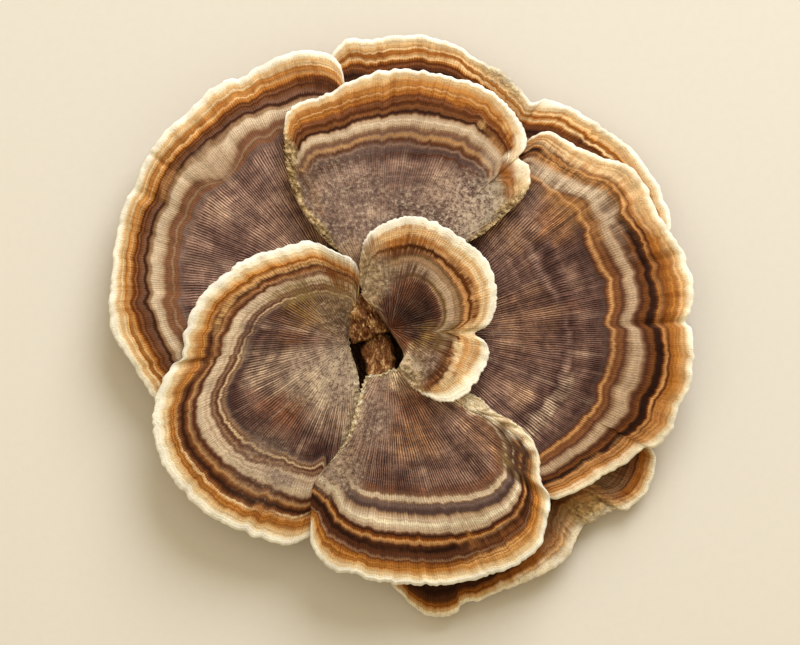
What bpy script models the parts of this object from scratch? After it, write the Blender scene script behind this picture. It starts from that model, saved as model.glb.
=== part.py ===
# Banded bracket fungus rosette: eight overlapping caps around a short stub, cut flat below.
# Sizes are in millimetres; x is right, y is away, z is up; the cut is at z = 0.
import math

import bmesh
import bpy
import numpy as np

for old in list(bpy.data.objects):
    bpy.data.objects.remove(old)

MM = 0.001
CAP_MIDDLE_THICK = 2.9
CAP_EDGE_THICK = 1.3
LAYER_GAP = 0.75
BLEND_HEIGHT = 1.5
COVER_START = 0.8
COVER_FADE = 10.0
DROOP_WIDTH = 12.0
# shares of a cap's reach between which it thins, climbs and begins to ripple
THIN_SPAN = (0.05, 0.8)
CLIMB_SPAN = (0.1, 1.1)
RIPPLE_SPAN = (0.35, 0.95)
CAP_ROUGHNESS = 0.75
STUB_TOP = 16.0
STUB_SHOULDER = 13.0
STUB_FOOT = 2.6
STUB_CLEAR = 0.8
STUB_MARGIN = 3.5
STUB_STEPS = 40
STUB_FLARE = 0.8
STUB_ROUGHNESS = 0.9
OPEN_SKY = 99.0

UNDER_CAP = {
    "name": "under_cap",
    "middle": (12, -13), "reach": 47, "steps": 60,
    "hub": 7.2, "edge": 6.2, "droop": 1.0, "ripple": (0.8, 5, 0.4),
    "margin": [
        (3, -49), (6, -53.5), (12, -58), (14, -58), (17.5, -57), (18.5, -55.5), (22, -54.5),
        (27, -52.5), (31, -51), (35.5, -49), (40, -46), (42, -42.5), (43, -40), (46.5, -38),
        (50, -36), (52.5, -36), (55.5, -33.5), (57.5, -30.5), (58.5, -27), (58, -24),
        (54.5, -19.5), (44.5, -13.5), (30.5, -7.5), (17, -5), (9, -6.5), (5, -11),
        (2.5, -18), (1.5, -29.5), (2, -41)],
    "rests_on": [],
    "colour": (0.50, 0.30, 0.14),
}

BACK_CAP = {
    "name": "back_cap",
    "middle": (7, 13), "reach": 54, "steps": 68,
    "hub": 9.2, "edge": 8.6, "droop": 0.8, "ripple": (0.8, 6, 1.0),
    "margin": [
        (61.5, 23), (60, 28.5), (58, 32.5), (53.5, 38.5), (47.5, 43), (42, 46.5), (38.5, 48),
        (36, 49), (33, 48), (30.5, 51), (27, 54.5), (21.5, 57), (18, 59.5), (12.5, 61.5),
        (5.5, 62), (-0.5, 61), (-3.5, 61.5), (-6, 60.5), (-8.5, 58), (-10, 54.5),
        (-11, 49.5), (-10, 39), (-7.5, 27), (-4, 17), (0, 10.5), (5.5, 9), (16, 8),
        (30.5, 10.5), (46.5, 14.5), (58, 18)],
    "rests_on": [],
    "colour": (0.62, 0.42, 0.22),
}

LEFT_CAP = {
    "name": "left_cap",
    "middle": (-7, 9), "reach": 52, "steps": 68,
    "hub": 12.6, "edge": 11.2, "droop": 1.6, "ripple": (1.1, 6, 0.2),
    "margin": [
        (-6, 54), (-7, 56.5), (-10.5, 58.5), (-16, 58.5), (-21.5, 56.5), (-27.5, 53),
        (-30.5, 52.5), (-34, 50), (-38.5, 45.5), (-43.5, 41), (-47.5, 34.5), (-49.5, 29.5),
        (-50.5, 28.5), (-52.5, 21.5), (-53.5, 13.5), (-54, 6.5), (-54, 2.5), (-52.5, -1),
        (-48.5, -7), (-45, -12.5), (-40.5, -15.5), (-31, -15.5), (-19, -12), (-11, -6),
        (-7.5, -0.5), (-6, 5), (-4.5, 10.5), (-3.5, 16.5), (-4, 25), (-4.5, 35),
        (-5, 45.5), (-5.5, 51)],
    "rests_on": ["back_cap"],
    "colour": (0.36, 0.26, 0.20),
}

RIGHT_CAP = {
    "name": "right_cap",
    "middle": (10, 0.5), "reach": 56, "steps": 72,
    "hub": 12.9, "edge": 12.2, "droop": 1.4, "ripple": (1.1, 7, 2.1),
    "margin": [
        (34.5, -32.5), (37, -33.5), (42, -32), (48, -28.5), (52.5, -26), (56, -23), (58, -23),
        (61.5, -19.5), (63, -15), (65.5, -9.5), (66, -3.5), (65.5, 1.5), (64.5, 3),
        (65.5, 5), (66, 10.5), (64, 17), (60.5, 22.5), (58, 26.5), (56, 31.5), (52.5, 35),
        (46.5, 37), (41, 39.5), (36.5, 42), (33, 41), (29.5, 37), (26, 33), (21.5, 28.5),
        (17, 24), (13, 17.5), (10, 11.5), (8.5, 5.5), (8, 0), (9, -5.5), (12, -11),
        (17.5, -18.5), (24, -26), (30, -30.5)],
    "rests_on": ["under_cap", "back_cap"],
    "colour": (0.34, 0.25, 0.21),
}

TOP_CAP = {
    "name": "top_cap",
    "middle": (1.5, 10.5), "reach": 44, "steps": 64,
    "hub": 15.4, "edge": 15.4, "droop": 1.0, "ripple": (0.8, 6, 0.7),
    "margin": [
        (19.5, 19), (23, 21), (27, 24.5), (31.5, 29), (32.5, 32.5), (32, 35), (30, 36.5),
        (31.5, 38.5), (31.5, 41.5), (28.5, 46.5), (23, 51), (16.5, 53), (9, 54.5),
        (2.5, 54.5), (-5, 52), (-9.5, 49.5), (-15.5, 47.5), (-17.5, 45.5), (-18, 39),
        (-17, 32), (-14.5, 26), (-9.5, 19.5), (-4.5, 15), (-3, 11.5), (-2, 9), (0, 8),
        (3, 8), (8, 11), (14.5, 15.5)],
    "rests_on": ["left_cap", "right_cap", "back_cap"],
    "colour": (0.46, 0.37, 0.28),
}

LOWER_LEFT_CAP = {
    "name": "lower_left_cap",
    "middle": (-5.5, -1), "reach": 44, "steps": 66,
    "hub": 16.4, "edge": 13.4, "droop": 1.4, "ripple": (1.0, 5, 1.2),
    "margin": [
        (-2.5, 10.5), (-2.5, 13.5), (-4.5, 16), (-8, 17.5), (-12.5, 19.5), (-19, 18),
        (-25.5, 16), (-30.5, 12.5), (-34, 9.5), (-36.5, 6), (-38.5, 0.5), (-39, -4.5),
        (-41, -6), (-44, -11.5), (-45, -18), (-43.5, -25), (-40, -30.5), (-34, -36.5),
        (-27, -40), (-20, -42.5), (-17, -43), (-13.5, -41.5), (-10.5, -39.5), (-8, -35.5),
        (-5.5, -28.5), (-3.5, -21.5), (-2.5, -15), (-2.5, -10.5), (-3, -7), (-4, -4),
        (-4.5, -1.5), (-4.5, 1), (-4, 3.5), (-3, 7)],
    "rests_on": ["left_cap", "top_cap"],
    "colour": (0.38, 0.28, 0.21),
}

BOTTOM_CAP = {
    "name": "bottom_cap",
    "middle": (5.5, -13), "reach": 42, "steps": 64,
    "hub": 16.4, "edge": 13.6, "droop": 1.2, "ripple": (0.9, 6, 0.0),
    "margin": [
        (16.5, -10), (12, -8.5), (8, -7), (4.5, -6.5), (1.5, -7.5), (-1, -8), (-2.5, -11.5),
        (-4, -17), (-5.5, -21.5), (-8, -25), (-12, -30.5), (-12.5, -36.5), (-12.5, -42.5),
        (-10, -46.5), (-7, -48.5), (-4.5, -48.5), (-0.5, -50), (7, -51), (16, -51),
        (24.5, -49), (30.5, -46.5), (34.5, -43), (36, -37.5), (36.5, -33), (34.5, -29.5),
        (34.5, -26), (33, -21.5), (29, -17.5), (26, -16), (21, -12)],
    "rests_on": ["right_cap", "under_cap", "lower_left_cap"],
    "colour": (0.36, 0.26, 0.20),
}

CENTRE_CAP = {
    "name": "centre_cap",
    "middle": (10, 1), "reach": 22, "steps": 56,
    "hub": 18.6, "edge": 19.6, "droop": 0.7, "ripple": (0.5, 5, 0.5),
    "margin": [
        (-1.5, 7.5), (0.5, 5.5), (3, 2), (5, -1), (6.5, -4), (5.5, -6.5), (7.5, -10),
        (11.5, -12.5), (15, -13.5), (18.5, -12.5), (22.5, -7.5), (24, -3.5), (23, -1),
        (21, 0.5), (23.5, 2), (25, 4.5), (25.5, 9.5), (23.5, 15.5), (19, 19.5),
        (13.5, 23), (8.5, 24.5), (3.5, 23.5), (-1, 20.5), (-2.5, 15), (-2.5, 10.5)],
    "rests_on": ["top_cap", "right_cap", "bottom_cap", "lower_left_cap"],
    "colour": (0.44, 0.32, 0.22),
}

CAPS = [UNDER_CAP, BACK_CAP, LEFT_CAP, RIGHT_CAP, TOP_CAP, LOWER_LEFT_CAP, BOTTOM_CAP, CENTRE_CAP]

# the stub narrows from the cut to the column seen between the caps
STUB_MIDDLE = (0.4, -0.4)
STUB_COLUMN = [
    (-2.3, 7.4), (-3.3, 4.3), (-3.7, 1.2), (-3.5, -1), (-2.3, -2.9), (-1.6, -4.9),
    (-0.4, -6.6), (2.1, -6.2), (3.9, -5.5), (4.9, -4.5), (4.9, -2.7), (3.5, -0.4),
    (2.1, 2.1), (0.6, 3.9), (-1, 5.5)]
STUB_CUT = [
    (18, 1), (16, 8), (10, 13), (2, 14.5), (-7, 13), (-12.5, 7.5), (-14, 0), (-12, -8),
    (-6, -13), (2, -14.5), (10, -13.5), (16, -7)]
STUB_COLOUR = (0.30, 0.17, 0.09)


def ease(low, high, value):
    """Smooth step from 0 at low to 1 at high."""
    t = np.clip((value - low) / (high - low), 0.0, 1.0)
    return t * t * (3.0 - 2.0 * t)


def closed_curve(points, per_span=16):
    """Smooth closed curve through the points."""
    pts = np.array(points, dtype=float)
    count = len(pts)
    curve = []
    for i in range(count):
        p0, p1, p2, p3 = (pts[(i + k - 1) % count] for k in range(4))
        t0 = 0.0
        t1 = t0 + math.sqrt(np.linalg.norm(p1 - p0))
        t2 = t1 + math.sqrt(np.linalg.norm(p2 - p1))
        t3 = t2 + math.sqrt(np.linalg.norm(p3 - p2))
        for j in range(per_span):
            t = t1 + (t2 - t1) * j / per_span
            a1 = p0 + (p1 - p0) * (t - t0) / (t1 - t0)
            a2 = p1 + (p2 - p1) * (t - t1) / (t2 - t1)
            a3 = p2 + (p3 - p2) * (t - t2) / (t3 - t2)
            b1 = a1 + (a2 - a1) * (t - t0) / (t2 - t0)
            b2 = a2 + (a3 - a2) * (t - t1) / (t3 - t1)
            curve.append(b1 + (b2 - b1) * (t - t1) / (t2 - t1))
    return np.array(curve)


def even_steps(curve, count):
    """Points at even spacing along a closed curve."""
    closed = np.vstack([curve, curve[:1]])
    length = np.concatenate([[0.0], np.cumsum(np.linalg.norm(np.diff(closed, axis=0), axis=1))])
    wanted = np.arange(count) * length[-1] / count
    return np.column_stack([np.interp(wanted, length, closed[:, k]) for k in range(2)])


def radius_table(curve, middle):
    """Angle and radius of a closed curve around a point inside it."""
    offset = curve - np.array(middle, dtype=float)
    angle = np.arctan2(offset[:, 1], offset[:, 0])
    order = np.argsort(angle)
    return angle[order], np.linalg.norm(offset, axis=1)[order]


def radius_at(table, angle):
    """Radius of a tabled curve in any direction."""
    return np.interp(angle, table[0], table[1], period=2.0 * math.pi)


def place_in_plan(cap, x, y):
    """Distance from the cap's middle, angle, and distance past its margin."""
    dx = x - cap["middle"][0]
    dy = y - cap["middle"][1]
    distance = np.hypot(dx, dy)
    angle = np.arctan2(dy, dx)
    return distance, angle, distance - radius_at(cap["table"], angle)


def thickness(cap, x, y):
    """Thickness of a cap, thinner towards its margin."""
    reach = place_in_plan(cap, x, y)[0] / cap["reach"]
    return CAP_MIDDLE_THICK + (CAP_EDGE_THICK - CAP_MIDDLE_THICK) * ease(*THIN_SPAN, reach)


def top_height(cap, x, y):
    """Height of a cap's upper face, lifted where it lies on lower caps."""
    distance, angle, past = place_in_plan(cap, x, y)
    reach = distance / cap["reach"]
    size, waves, start = cap["ripple"]
    outer = ease(*RIPPLE_SPAN, reach)
    height = cap["hub"] + (cap["edge"] - cap["hub"]) * ease(*CLIMB_SPAN, reach)
    height = height + size * outer * np.sin(waves * angle + start)
    height = height - cap["droop"] * outer * ease(-DROOP_WIDTH, 0.0, past)
    for name in cap["rests_on"]:
        lower = CAP_BY_NAME[name]
        cover = 1.0 - ease(COVER_START, COVER_FADE, place_in_plan(lower, x, y)[2])
        floor = top_height(lower, x, y) + thickness(cap, x, y) + LAYER_GAP
        rise = (floor - height) * cover
        height = height + 0.5 * (rise + np.sqrt(rise * rise + BLEND_HEIGHT ** 2 * cover))
    return height


def spun_disc(profile, steps):
    """Closed unit disc turned from a profile of (radius, side) points."""
    mesh = bmesh.new()
    verts = [mesh.verts.new((radius, 0.0, side)) for radius, side in profile]
    edges = [mesh.edges.new(pair) for pair in zip(verts, verts[1:])]
    bmesh.ops.spin(mesh, geom=verts + edges, cent=(0, 0, 0), axis=(0, 0, 1),
                   angle=2.0 * math.pi, steps=steps, use_merge=True)
    bmesh.ops.remove_doubles(mesh, verts=mesh.verts[:], dist=0.00005)
    bmesh.ops.recalc_face_normals(mesh, faces=mesh.faces[:])
    mesh.verts.index_update()
    return mesh


def disc_places(mesh, steps):
    """Radius, step number and side of every vertex of a unit disc."""
    places = np.array([vert.co[:] for vert in mesh.verts])
    radius = np.hypot(places[:, 0], places[:, 1])
    turn = np.arctan2(places[:, 1], places[:, 0]) / (2.0 * math.pi) * steps
    return radius, np.rint(turn).astype(int) % steps, places[:, 2]


def finish_object(name, mesh, places, colour, roughness):
    """Move the vertices to their places and make the named object."""
    for vert, place in zip(mesh.verts, places):
        vert.co = place * MM
    bmesh.ops.triangulate(mesh, faces=mesh.faces[:])
    bmesh.ops.recalc_face_normals(mesh, faces=mesh.faces[:])
    data = bpy.data.meshes.new(name)
    mesh.to_mesh(data)
    mesh.free()
    part = bpy.data.objects.new(name, data)
    bpy.context.scene.collection.objects.link(part)
    material = bpy.data.materials.new(name)
    material.use_nodes = True
    shader = material.node_tree.nodes["Principled BSDF"]
    shader.inputs["Base Color"].default_value = (*colour, 1.0)
    shader.inputs["Roughness"].default_value = roughness
    shader.inputs["Metallic"].default_value = 0.0
    data.materials.append(material)
    return part


CAP_PROFILE = [(0.0, 1.0), (0.3, 1.0), (0.58, 1.0), (0.82, 1.0), (0.965, 0.75), (1.0, 0.0),
               (0.965, -0.75), (0.75, -1.0), (0.4, -1.0), (0.0, -1.0)]


def build_cap(cap):
    """One cap: a thin plate whose rings follow its own margin."""
    steps = cap["steps"]
    mesh = spun_disc(CAP_PROFILE, steps)
    radius, step, side = disc_places(mesh, steps)
    rim = even_steps(cap["curve"], steps)
    middle = np.array(cap["middle"], dtype=float)
    flat = middle + (rim[step] - middle) * radius[:, None]
    x, y = flat[:, 0], flat[:, 1]
    z = top_height(cap, x, y) - thickness(cap, x, y) * (1.0 - side) / 2.0
    return finish_object(cap["name"], mesh, np.column_stack([x, y, z]), cap["colour"],
                         CAP_ROUGHNESS)


def ceiling(x, y):
    """Lowest underside above each point, less a clear gap."""
    lowest = np.full_like(x, OPEN_SKY)
    for cap in CAPS:
        inside = place_in_plan(cap, x, y)[2] < STUB_MARGIN
        under = top_height(cap, x, y) - thickness(cap, x, y) - STUB_CLEAR
        lowest = np.where(inside, np.minimum(lowest, under), lowest)
    return lowest


# (blend from column 0 to cut 1, scale, height or None to rise under the caps)
STUB_RINGS = [(0.0, 0.0, STUB_TOP), (0.0, 0.7, STUB_TOP), (0.0, 0.96, STUB_TOP - 0.7),
              (0.0, 1.0, STUB_TOP - 2.0), (0.0, 1.0, None), (0.25, 1.0, None),
              (0.55, 1.0, None), (0.85, 1.0, None), (1.0, 1.0, STUB_FOOT - 1.4),
              (1.0, 0.97, 0.0), (1.0, 0.0, 0.0)]


def build_stub():
    """The stub that carries every cap, with its flat cut at z = 0."""
    profile = [(0.0 if scale == 0.0 else 1.0, -float(number))
               for number, (_, scale, _) in enumerate(STUB_RINGS)]
    mesh = spun_disc(profile, STUB_STEPS)
    _, step, side = disc_places(mesh, STUB_STEPS)
    ring = np.rint(-side).astype(int)
    blend = np.array([entry[0] for entry in STUB_RINGS])[ring]
    scale = np.array([entry[1] for entry in STUB_RINGS])[ring]
    height = np.array([-1.0 if entry[2] is None else entry[2] for entry in STUB_RINGS])[ring]
    angle = step * 2.0 * math.pi / STUB_STEPS
    column = radius_at(radius_table(closed_curve(STUB_COLUMN), STUB_MIDDLE), angle)
    cut = radius_at(radius_table(closed_curve(STUB_CUT), STUB_MIDDLE), angle)
    radius = (column + (cut - column) * blend) * scale
    x = STUB_MIDDLE[0] + radius * np.cos(angle)
    y = STUB_MIDDLE[1] + radius * np.sin(angle)
    wanted = STUB_FOOT + (STUB_SHOULDER - STUB_FOOT) * (1.0 - blend) ** STUB_FLARE
    z = np.where(height < 0.0, np.minimum(wanted, ceiling(x, y)), height)
    return finish_object("base_stub", mesh, np.column_stack([x, y, z]), STUB_COLOUR,
                         STUB_ROUGHNESS)


CAP_BY_NAME = {cap["name"]: cap for cap in CAPS}
for cap in CAPS:
    cap["curve"] = closed_curve(cap["margin"])
    cap["table"] = radius_table(cap["curve"], cap["middle"])

build_stub()
for cap in CAPS:
    build_cap(cap)
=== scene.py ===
# Turkey tail fungus rosette: banded caps around a torn stub, seen from straight above.
# Plan sizes are in millimetres along the frame's own axes, with the stub's cut at height 0.
import math

import bmesh
import bpy
import numpy as np
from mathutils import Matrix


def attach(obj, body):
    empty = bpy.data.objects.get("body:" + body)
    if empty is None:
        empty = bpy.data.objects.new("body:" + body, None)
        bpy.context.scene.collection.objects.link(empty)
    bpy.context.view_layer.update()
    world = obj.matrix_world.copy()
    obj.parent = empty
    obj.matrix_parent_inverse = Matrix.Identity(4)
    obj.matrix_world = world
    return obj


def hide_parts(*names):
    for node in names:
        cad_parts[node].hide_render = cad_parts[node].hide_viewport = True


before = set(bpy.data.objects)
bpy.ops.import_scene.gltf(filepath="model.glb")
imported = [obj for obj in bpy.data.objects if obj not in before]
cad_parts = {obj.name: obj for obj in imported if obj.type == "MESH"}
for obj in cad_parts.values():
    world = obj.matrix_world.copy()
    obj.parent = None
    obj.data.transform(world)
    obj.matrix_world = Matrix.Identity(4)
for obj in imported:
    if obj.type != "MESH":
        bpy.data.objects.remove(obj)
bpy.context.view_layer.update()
mm = 0.001
fullTurn = 2.0 * math.pi
print("frame loaded:", len(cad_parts), "nodes")

# colours as they look in daylight, by name
paints = {
    "white": (1.0, 0.99, 0.92), "cream": (0.98, 0.935, 0.80), "straw": (0.90, 0.79, 0.60),
    "apricot": (0.87, 0.69, 0.45), "tan": (0.77, 0.57, 0.35), "ochre": (0.735, 0.495, 0.225),
    "rust": (0.60, 0.36, 0.12), "brick": (0.52, 0.34, 0.21), "chestnut": (0.46, 0.275, 0.13),
    "umber": (0.335, 0.19, 0.10), "soot": (0.19, 0.095, 0.045), "plum": (0.455, 0.37, 0.33),
    "dusk": (0.33, 0.25, 0.222), "sienna": (0.47, 0.33, 0.25), "mauve": (0.55, 0.465, 0.415),
    "ash": (0.66, 0.57, 0.49), "pale": (0.745, 0.64, 0.515), "bone": (0.84, 0.76, 0.64),
    "fawn": (0.61, 0.485, 0.355), "bark": (0.42, 0.225, 0.075), "loam": (0.345, 0.235, 0.165),
    "honey": (0.82, 0.71, 0.47), "frost": (0.74, 0.69, 0.59), "coal": (0.25, 0.18, 0.14),
    "olive": (0.60, 0.50, 0.31), "moss": (0.45, 0.36, 0.205), "pore": (0.93, 0.88, 0.76)}


def linear(name):
    return tuple(((c + 0.055) / 1.055) ** 2.4 if c > 0.04 else c / 12.92 for c in paints[name])


def rows(text):  # a table typed as text: numbers and paint names, with commas between its rows
    return [tuple(word if word.isalpha() else float(word) for word in row.split())
            for row in text.split(",") if row]


# curves and heights, the same rules that shape the solids
def ease(low, high, value):
    t = np.clip((value - low) / (high - low), 0.0, 1.0)
    return t * t * (3.0 - 2.0 * t)


def closedCurve(points, perSpan=16):  # smooth closed curve through the points
    pts = np.array(points, dtype=float)
    count = len(pts)
    curve = []
    for i in range(count):
        p0, p1, p2, p3 = (pts[(i + k - 1) % count] for k in range(4))
        t0 = 0.0
        t1 = t0 + math.sqrt(np.linalg.norm(p1 - p0))
        t2 = t1 + math.sqrt(np.linalg.norm(p2 - p1))
        t3 = t2 + math.sqrt(np.linalg.norm(p3 - p2))
        for j in range(perSpan):
            t = t1 + (t2 - t1) * j / perSpan
            a1 = p0 + (p1 - p0) * (t - t0) / (t1 - t0)
            a2 = p1 + (p2 - p1) * (t - t1) / (t2 - t1)
            a3 = p2 + (p3 - p2) * (t - t2) / (t3 - t2)
            b1 = a1 + (a2 - a1) * (t - t0) / (t2 - t0)
            b2 = a2 + (a3 - a2) * (t - t1) / (t3 - t1)
            curve.append(b1 + (b2 - b1) * (t - t1) / (t2 - t1))
    return np.array(curve)


def evenSteps(curve, count):  # points at even spacing along a closed curve
    closed = np.vstack([curve, curve[:1]])
    length = np.concatenate([[0.0], np.cumsum(np.linalg.norm(np.diff(closed, axis=0), axis=1))])
    wanted = np.arange(count) * length[-1] / count
    return np.column_stack([np.interp(wanted, length, closed[:, k]) for k in range(2)])


def radiusTable(curve, middle):  # angle and radius of a closed curve around a point inside it
    offset = curve - np.array(middle, dtype=float)
    angle = np.arctan2(offset[:, 1], offset[:, 0])
    order = np.argsort(angle)
    return angle[order], np.linalg.norm(offset, axis=1)[order]


def radiusAt(table, angle):
    return np.interp(angle, table[0], table[1], period=fullTurn)


def wander(turns, seed, low, high, count=14):  # smooth closed wobble around -1 to 1
    rng = np.random.default_rng(seed)
    total = np.zeros_like(turns)
    for wave in rng.integers(low, high + 1, count):
        total += np.sin(fullTurn * (wave * turns + rng.random()))
    return total / math.sqrt(count)


def speckle(x, y, seed):  # smooth value noise, 0 to 1, one cell per unit
    xi, yi = np.floor(x), np.floor(y)
    fx, fy = x - xi, y - yi
    fx, fy = fx * fx * (3 - 2 * fx), fy * fy * (3 - 2 * fy)

    def corner(i, j):
        value = np.sin(i * 12.9898 + j * 78.233 + seed * 37.719) * 4375.8545
        return value - np.floor(value)
    low = corner(xi, yi) * (1 - fx) + corner(xi + 1, yi) * fx
    high = corner(xi, yi + 1) * (1 - fx) + corner(xi + 1, yi + 1) * fx
    return low * (1 - fy) + high * fy


stack = {"middleThick": 2.9, "edgeThick": 1.3, "layerGap": 0.75, "blend": 1.5,
         "coverFade": 10.0, "droopWidth": 12.0}


def placeInPlan(cap, x, y):  # distance and angle from a cap's middle, and how far past its margin
    dx = x - cap["middle"][0]
    dy = y - cap["middle"][1]
    distance = np.hypot(dx, dy)
    angle = np.arctan2(dy, dx)
    return distance, angle, distance - radiusAt(cap["table"], angle)


def thicknessAt(cap, x, y):
    reach = placeInPlan(cap, x, y)[0] / cap["reach"]
    return stack["middleThick"] + (stack["edgeThick"] - stack["middleThick"]) * ease(0.05, 0.8, reach)


def topHeight(cap, x, y):  # a cap's upper face, lifted where it lies on lower caps
    distance, angle, past = placeInPlan(cap, x, y)
    reach = distance / cap["reach"]
    size, waves, start = cap["ripple"]
    outer = ease(0.35, 0.95, reach)
    height = cap["hub"] + (cap["edge"] - cap["hub"]) * ease(0.1, 1.1, reach)
    height = height + size * outer * np.sin(waves * angle + start)
    height = height - cap["droop"] * outer * ease(-stack["droopWidth"], 0.0, past)
    for name in cap["restsOn"]:
        lower = capByName[name]
        cover = 1.0 - ease(0.8, stack["coverFade"], placeInPlan(lower, x, y)[2])
        floor = topHeight(lower, x, y) + thicknessAt(cap, x, y) + stack["layerGap"]
        rise = (floor - height) * cover
        height = height + 0.5 * (rise + np.sqrt(rise * rise + stack["blend"] ** 2 * cover))
    return height


# small helpers for node trees
def wire(tree, kind, inputs=None, **settings):
    node = tree.nodes.new(kind)
    for key, value in settings.items():
        setattr(node, key, value)
    for slot, value in (inputs or {}).items():
        if isinstance(value, bpy.types.NodeSocket):
            tree.links.new(value, node.inputs[slot])
        else:
            node.inputs[slot].default_value = value
    return node


def calc(tree, operation, *values):
    return wire(tree, "ShaderNodeMath", dict(enumerate(values)), operation=operation).outputs[0]


def times(tree, first, second):
    return calc(tree, "MULTIPLY", first, second)


def plus(tree, first, second):
    return calc(tree, "ADD", first, second)


def shift(tree, operation, *values):  # vector maths
    return wire(tree, "ShaderNodeVectorMath", dict(enumerate(values)), operation=operation).outputs


def remap(tree, value, low, high, newLow=0.0, newHigh=1.0):
    return wire(tree, "ShaderNodeMapRange", {0: value, 1: low, 2: high, 3: newLow, 4: newHigh},
                interpolation_type="SMOOTHSTEP").outputs[0]


def blendFloat(tree, factor, first, second):
    return wire(tree, "ShaderNodeMix", {0: factor, 2: first, 3: second}, data_type="FLOAT").outputs[0]


def blendColour(tree, factor, first, second, mode="MIX"):
    first, second = (colour if isinstance(colour, bpy.types.NodeSocket) else (*colour, 1.0)
                     for colour in (first, second))
    return wire(tree, "ShaderNodeMix", {0: factor, 6: first, 7: second}, data_type="RGBA",
                blend_type=mode).outputs[2]


def noise(tree, vector, scale, detail=2.0, roughness=0.5):
    return wire(tree, "ShaderNodeTexNoise", {"Vector": vector, "Scale": scale, "Detail": detail,
                                             "Roughness": roughness}, noise_dimensions="3D").outputs["Fac"]


def cellsOf(tree, vector, scale, feature):
    return wire(tree, "ShaderNodeTexVoronoi", {"Vector": vector, "Scale": scale}, feature=feature).outputs


def startGroup(name, inputs, outputs):
    group = bpy.data.node_groups.new(name, "ShaderNodeTree")
    kinds = {"f": "NodeSocketFloat", "v": "NodeSocketVector", "c": "NodeSocketColor"}
    for way, sockets in (("INPUT", inputs), ("OUTPUT", outputs)):
        for kind, labels in sockets.items():
            for label in labels.split():
                group.interface.new_socket(name=label, in_out=way, socket_type=kinds[kind])
    return group, group.nodes.new("NodeGroupInput").outputs, group.nodes.new("NodeGroupOutput").inputs


def placeGroup(tree, group, inputs):
    return wire(tree, "ShaderNodeGroup", inputs, node_tree=group).outputs


# rays of hair, streaks and wisps: name, how many round the cap, change along the ray
fibreLook = {"pitch": 0.46, "startRadius": 8.0, "split": 1.5, "waver": 9.0, "jitter": 2.5,
             "rays": (("Hair", 78.0, 0.07), ("Streak", 38.0, 0.05), ("Wisp", 13.0, 0.035))}


def makeFibreGroup():  # hair-fine rays that split as they spread from a growth point
    look = fibreLook
    group, given, wanted = startGroup("radial fibres", {"v": "Point"},
                                      {"f": "Fibre Streak Wisp Patch Blotch"})
    flat = shift(group, "MULTIPLY", given["Point"], (1.0, 1.0, 0.0))[0]
    parts = wire(group, "ShaderNodeSeparateXYZ", {0: flat}).outputs
    angle = calc(group, "ARCTAN2", parts[1], parts[0])
    radius = shift(group, "LENGTH", flat)["Value"]
    grown = calc(group, "DIVIDE", calc(group, "MAXIMUM", radius, 1.0), look["startRadius"])
    level = calc(group, "DIVIDE", calc(group, "LOGARITHM", grown, math.e), math.log(look["split"]))
    whole = calc(group, "FLOOR", level)
    change = remap(group, calc(group, "SUBTRACT", level, whole), 0.4, 0.6)
    first = fullTurn * look["startRadius"] / look["pitch"]
    phase = plus(group, times(group, noise(group, flat, 0.16, 2.0), look["waver"]),
                 times(group, noise(group, flat, 0.9, 1.0), look["jitter"]))
    waves = []
    for extra in (0.0, 1.0):
        power = calc(group, "POWER", look["split"], plus(group, whole, extra))
        turn = times(group, calc(group, "ROUND", times(group, power, first)), angle)
        waves.append(calc(group, "SINE", plus(group, turn, phase)))
    wave = blendFloat(group, change, *waves)
    rays = {}
    for label, count, run in look["rays"]:
        place = wire(group, "ShaderNodeCombineXYZ", {
            0: times(group, calc(group, "COSINE", angle), count),
            1: times(group, calc(group, "SINE", angle), count), 2: times(group, radius, run)}).outputs[0]
        rays[label] = noise(group, place, 1.0, 2.0, 0.6)
    # threads are clear in places and lost among loose hairs in others
    clear = remap(group, noise(group, flat, 0.24, 2.0), 0.35, 0.65, 0.36, 0.66)
    hair = times(group, calc(group, "SUBTRACT", rays.pop("Hair"), 0.5), 1.3)
    rays["Fibre"] = plus(group, plus(group, times(group, wave, clear), hair), 0.5)
    rays["Patch"] = noise(group, flat, 0.10, 3.0, 0.6)
    rays["Blotch"] = noise(group, flat, 0.36, 3.0, 0.62)
    for label, value in rays.items():
        group.links.new(value, wanted[label])
    return group


def makeLineGroup():  # thin growth lines that run round with the bands
    group, given, wanted = startGroup("growth lines", {"f": "Zone", "v": "Point"}, {"f": "Lines Fine Arcs"})
    slow = shift(group, "MULTIPLY", given["Point"], (0.045, 0.045, 0.0))[0]
    for scale, label in ((85.0, "Lines"), (230.0, "Fine"), (17.0, "Arcs")):
        drop = wire(group, "ShaderNodeCombineXYZ", {2: times(group, given["Zone"], scale)}).outputs[0]
        place = shift(group, "ADD", slow, drop)[0]
        group.links.new(remap(group, noise(group, place, 1.0, 1.0), 0.32, 0.68), wanted[label])
    return group


def makeCrumbGroup():  # crumbly warts, and one grit that gives dark pits beside light flecks
    group, given, wanted = startGroup("crumbs", {"v": "Point"}, {"f": "Grain Shade Pits Flecks Speck"})
    point = given["Point"]
    cells = cellsOf(group, point, 1.05, "SMOOTH_F1")
    soft = noise(group, point, 1.5, 3.0, 0.55)
    tint = wire(group, "ShaderNodeSeparateColor", {0: cells["Color"]}).outputs[0]
    shade = plus(group, times(group, tint, 0.45), times(group, soft, 0.75))
    grit = noise(group, point, 1.3, 3.0, 0.68)
    found = {"Grain": remap(group, plus(group, times(group, cells["Distance"], -0.7), soft), -0.15, 0.45),
             "Shade": remap(group, shade, 0.30, 0.85), "Pits": remap(group, grit, 0.46, 0.34),
             "Flecks": remap(group, grit, 0.52, 0.66), "Speck": noise(group, point, 3.4, 2.0, 0.6)}
    for label, value in found.items():
        group.links.new(value, wanted[label])
    return group


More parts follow.
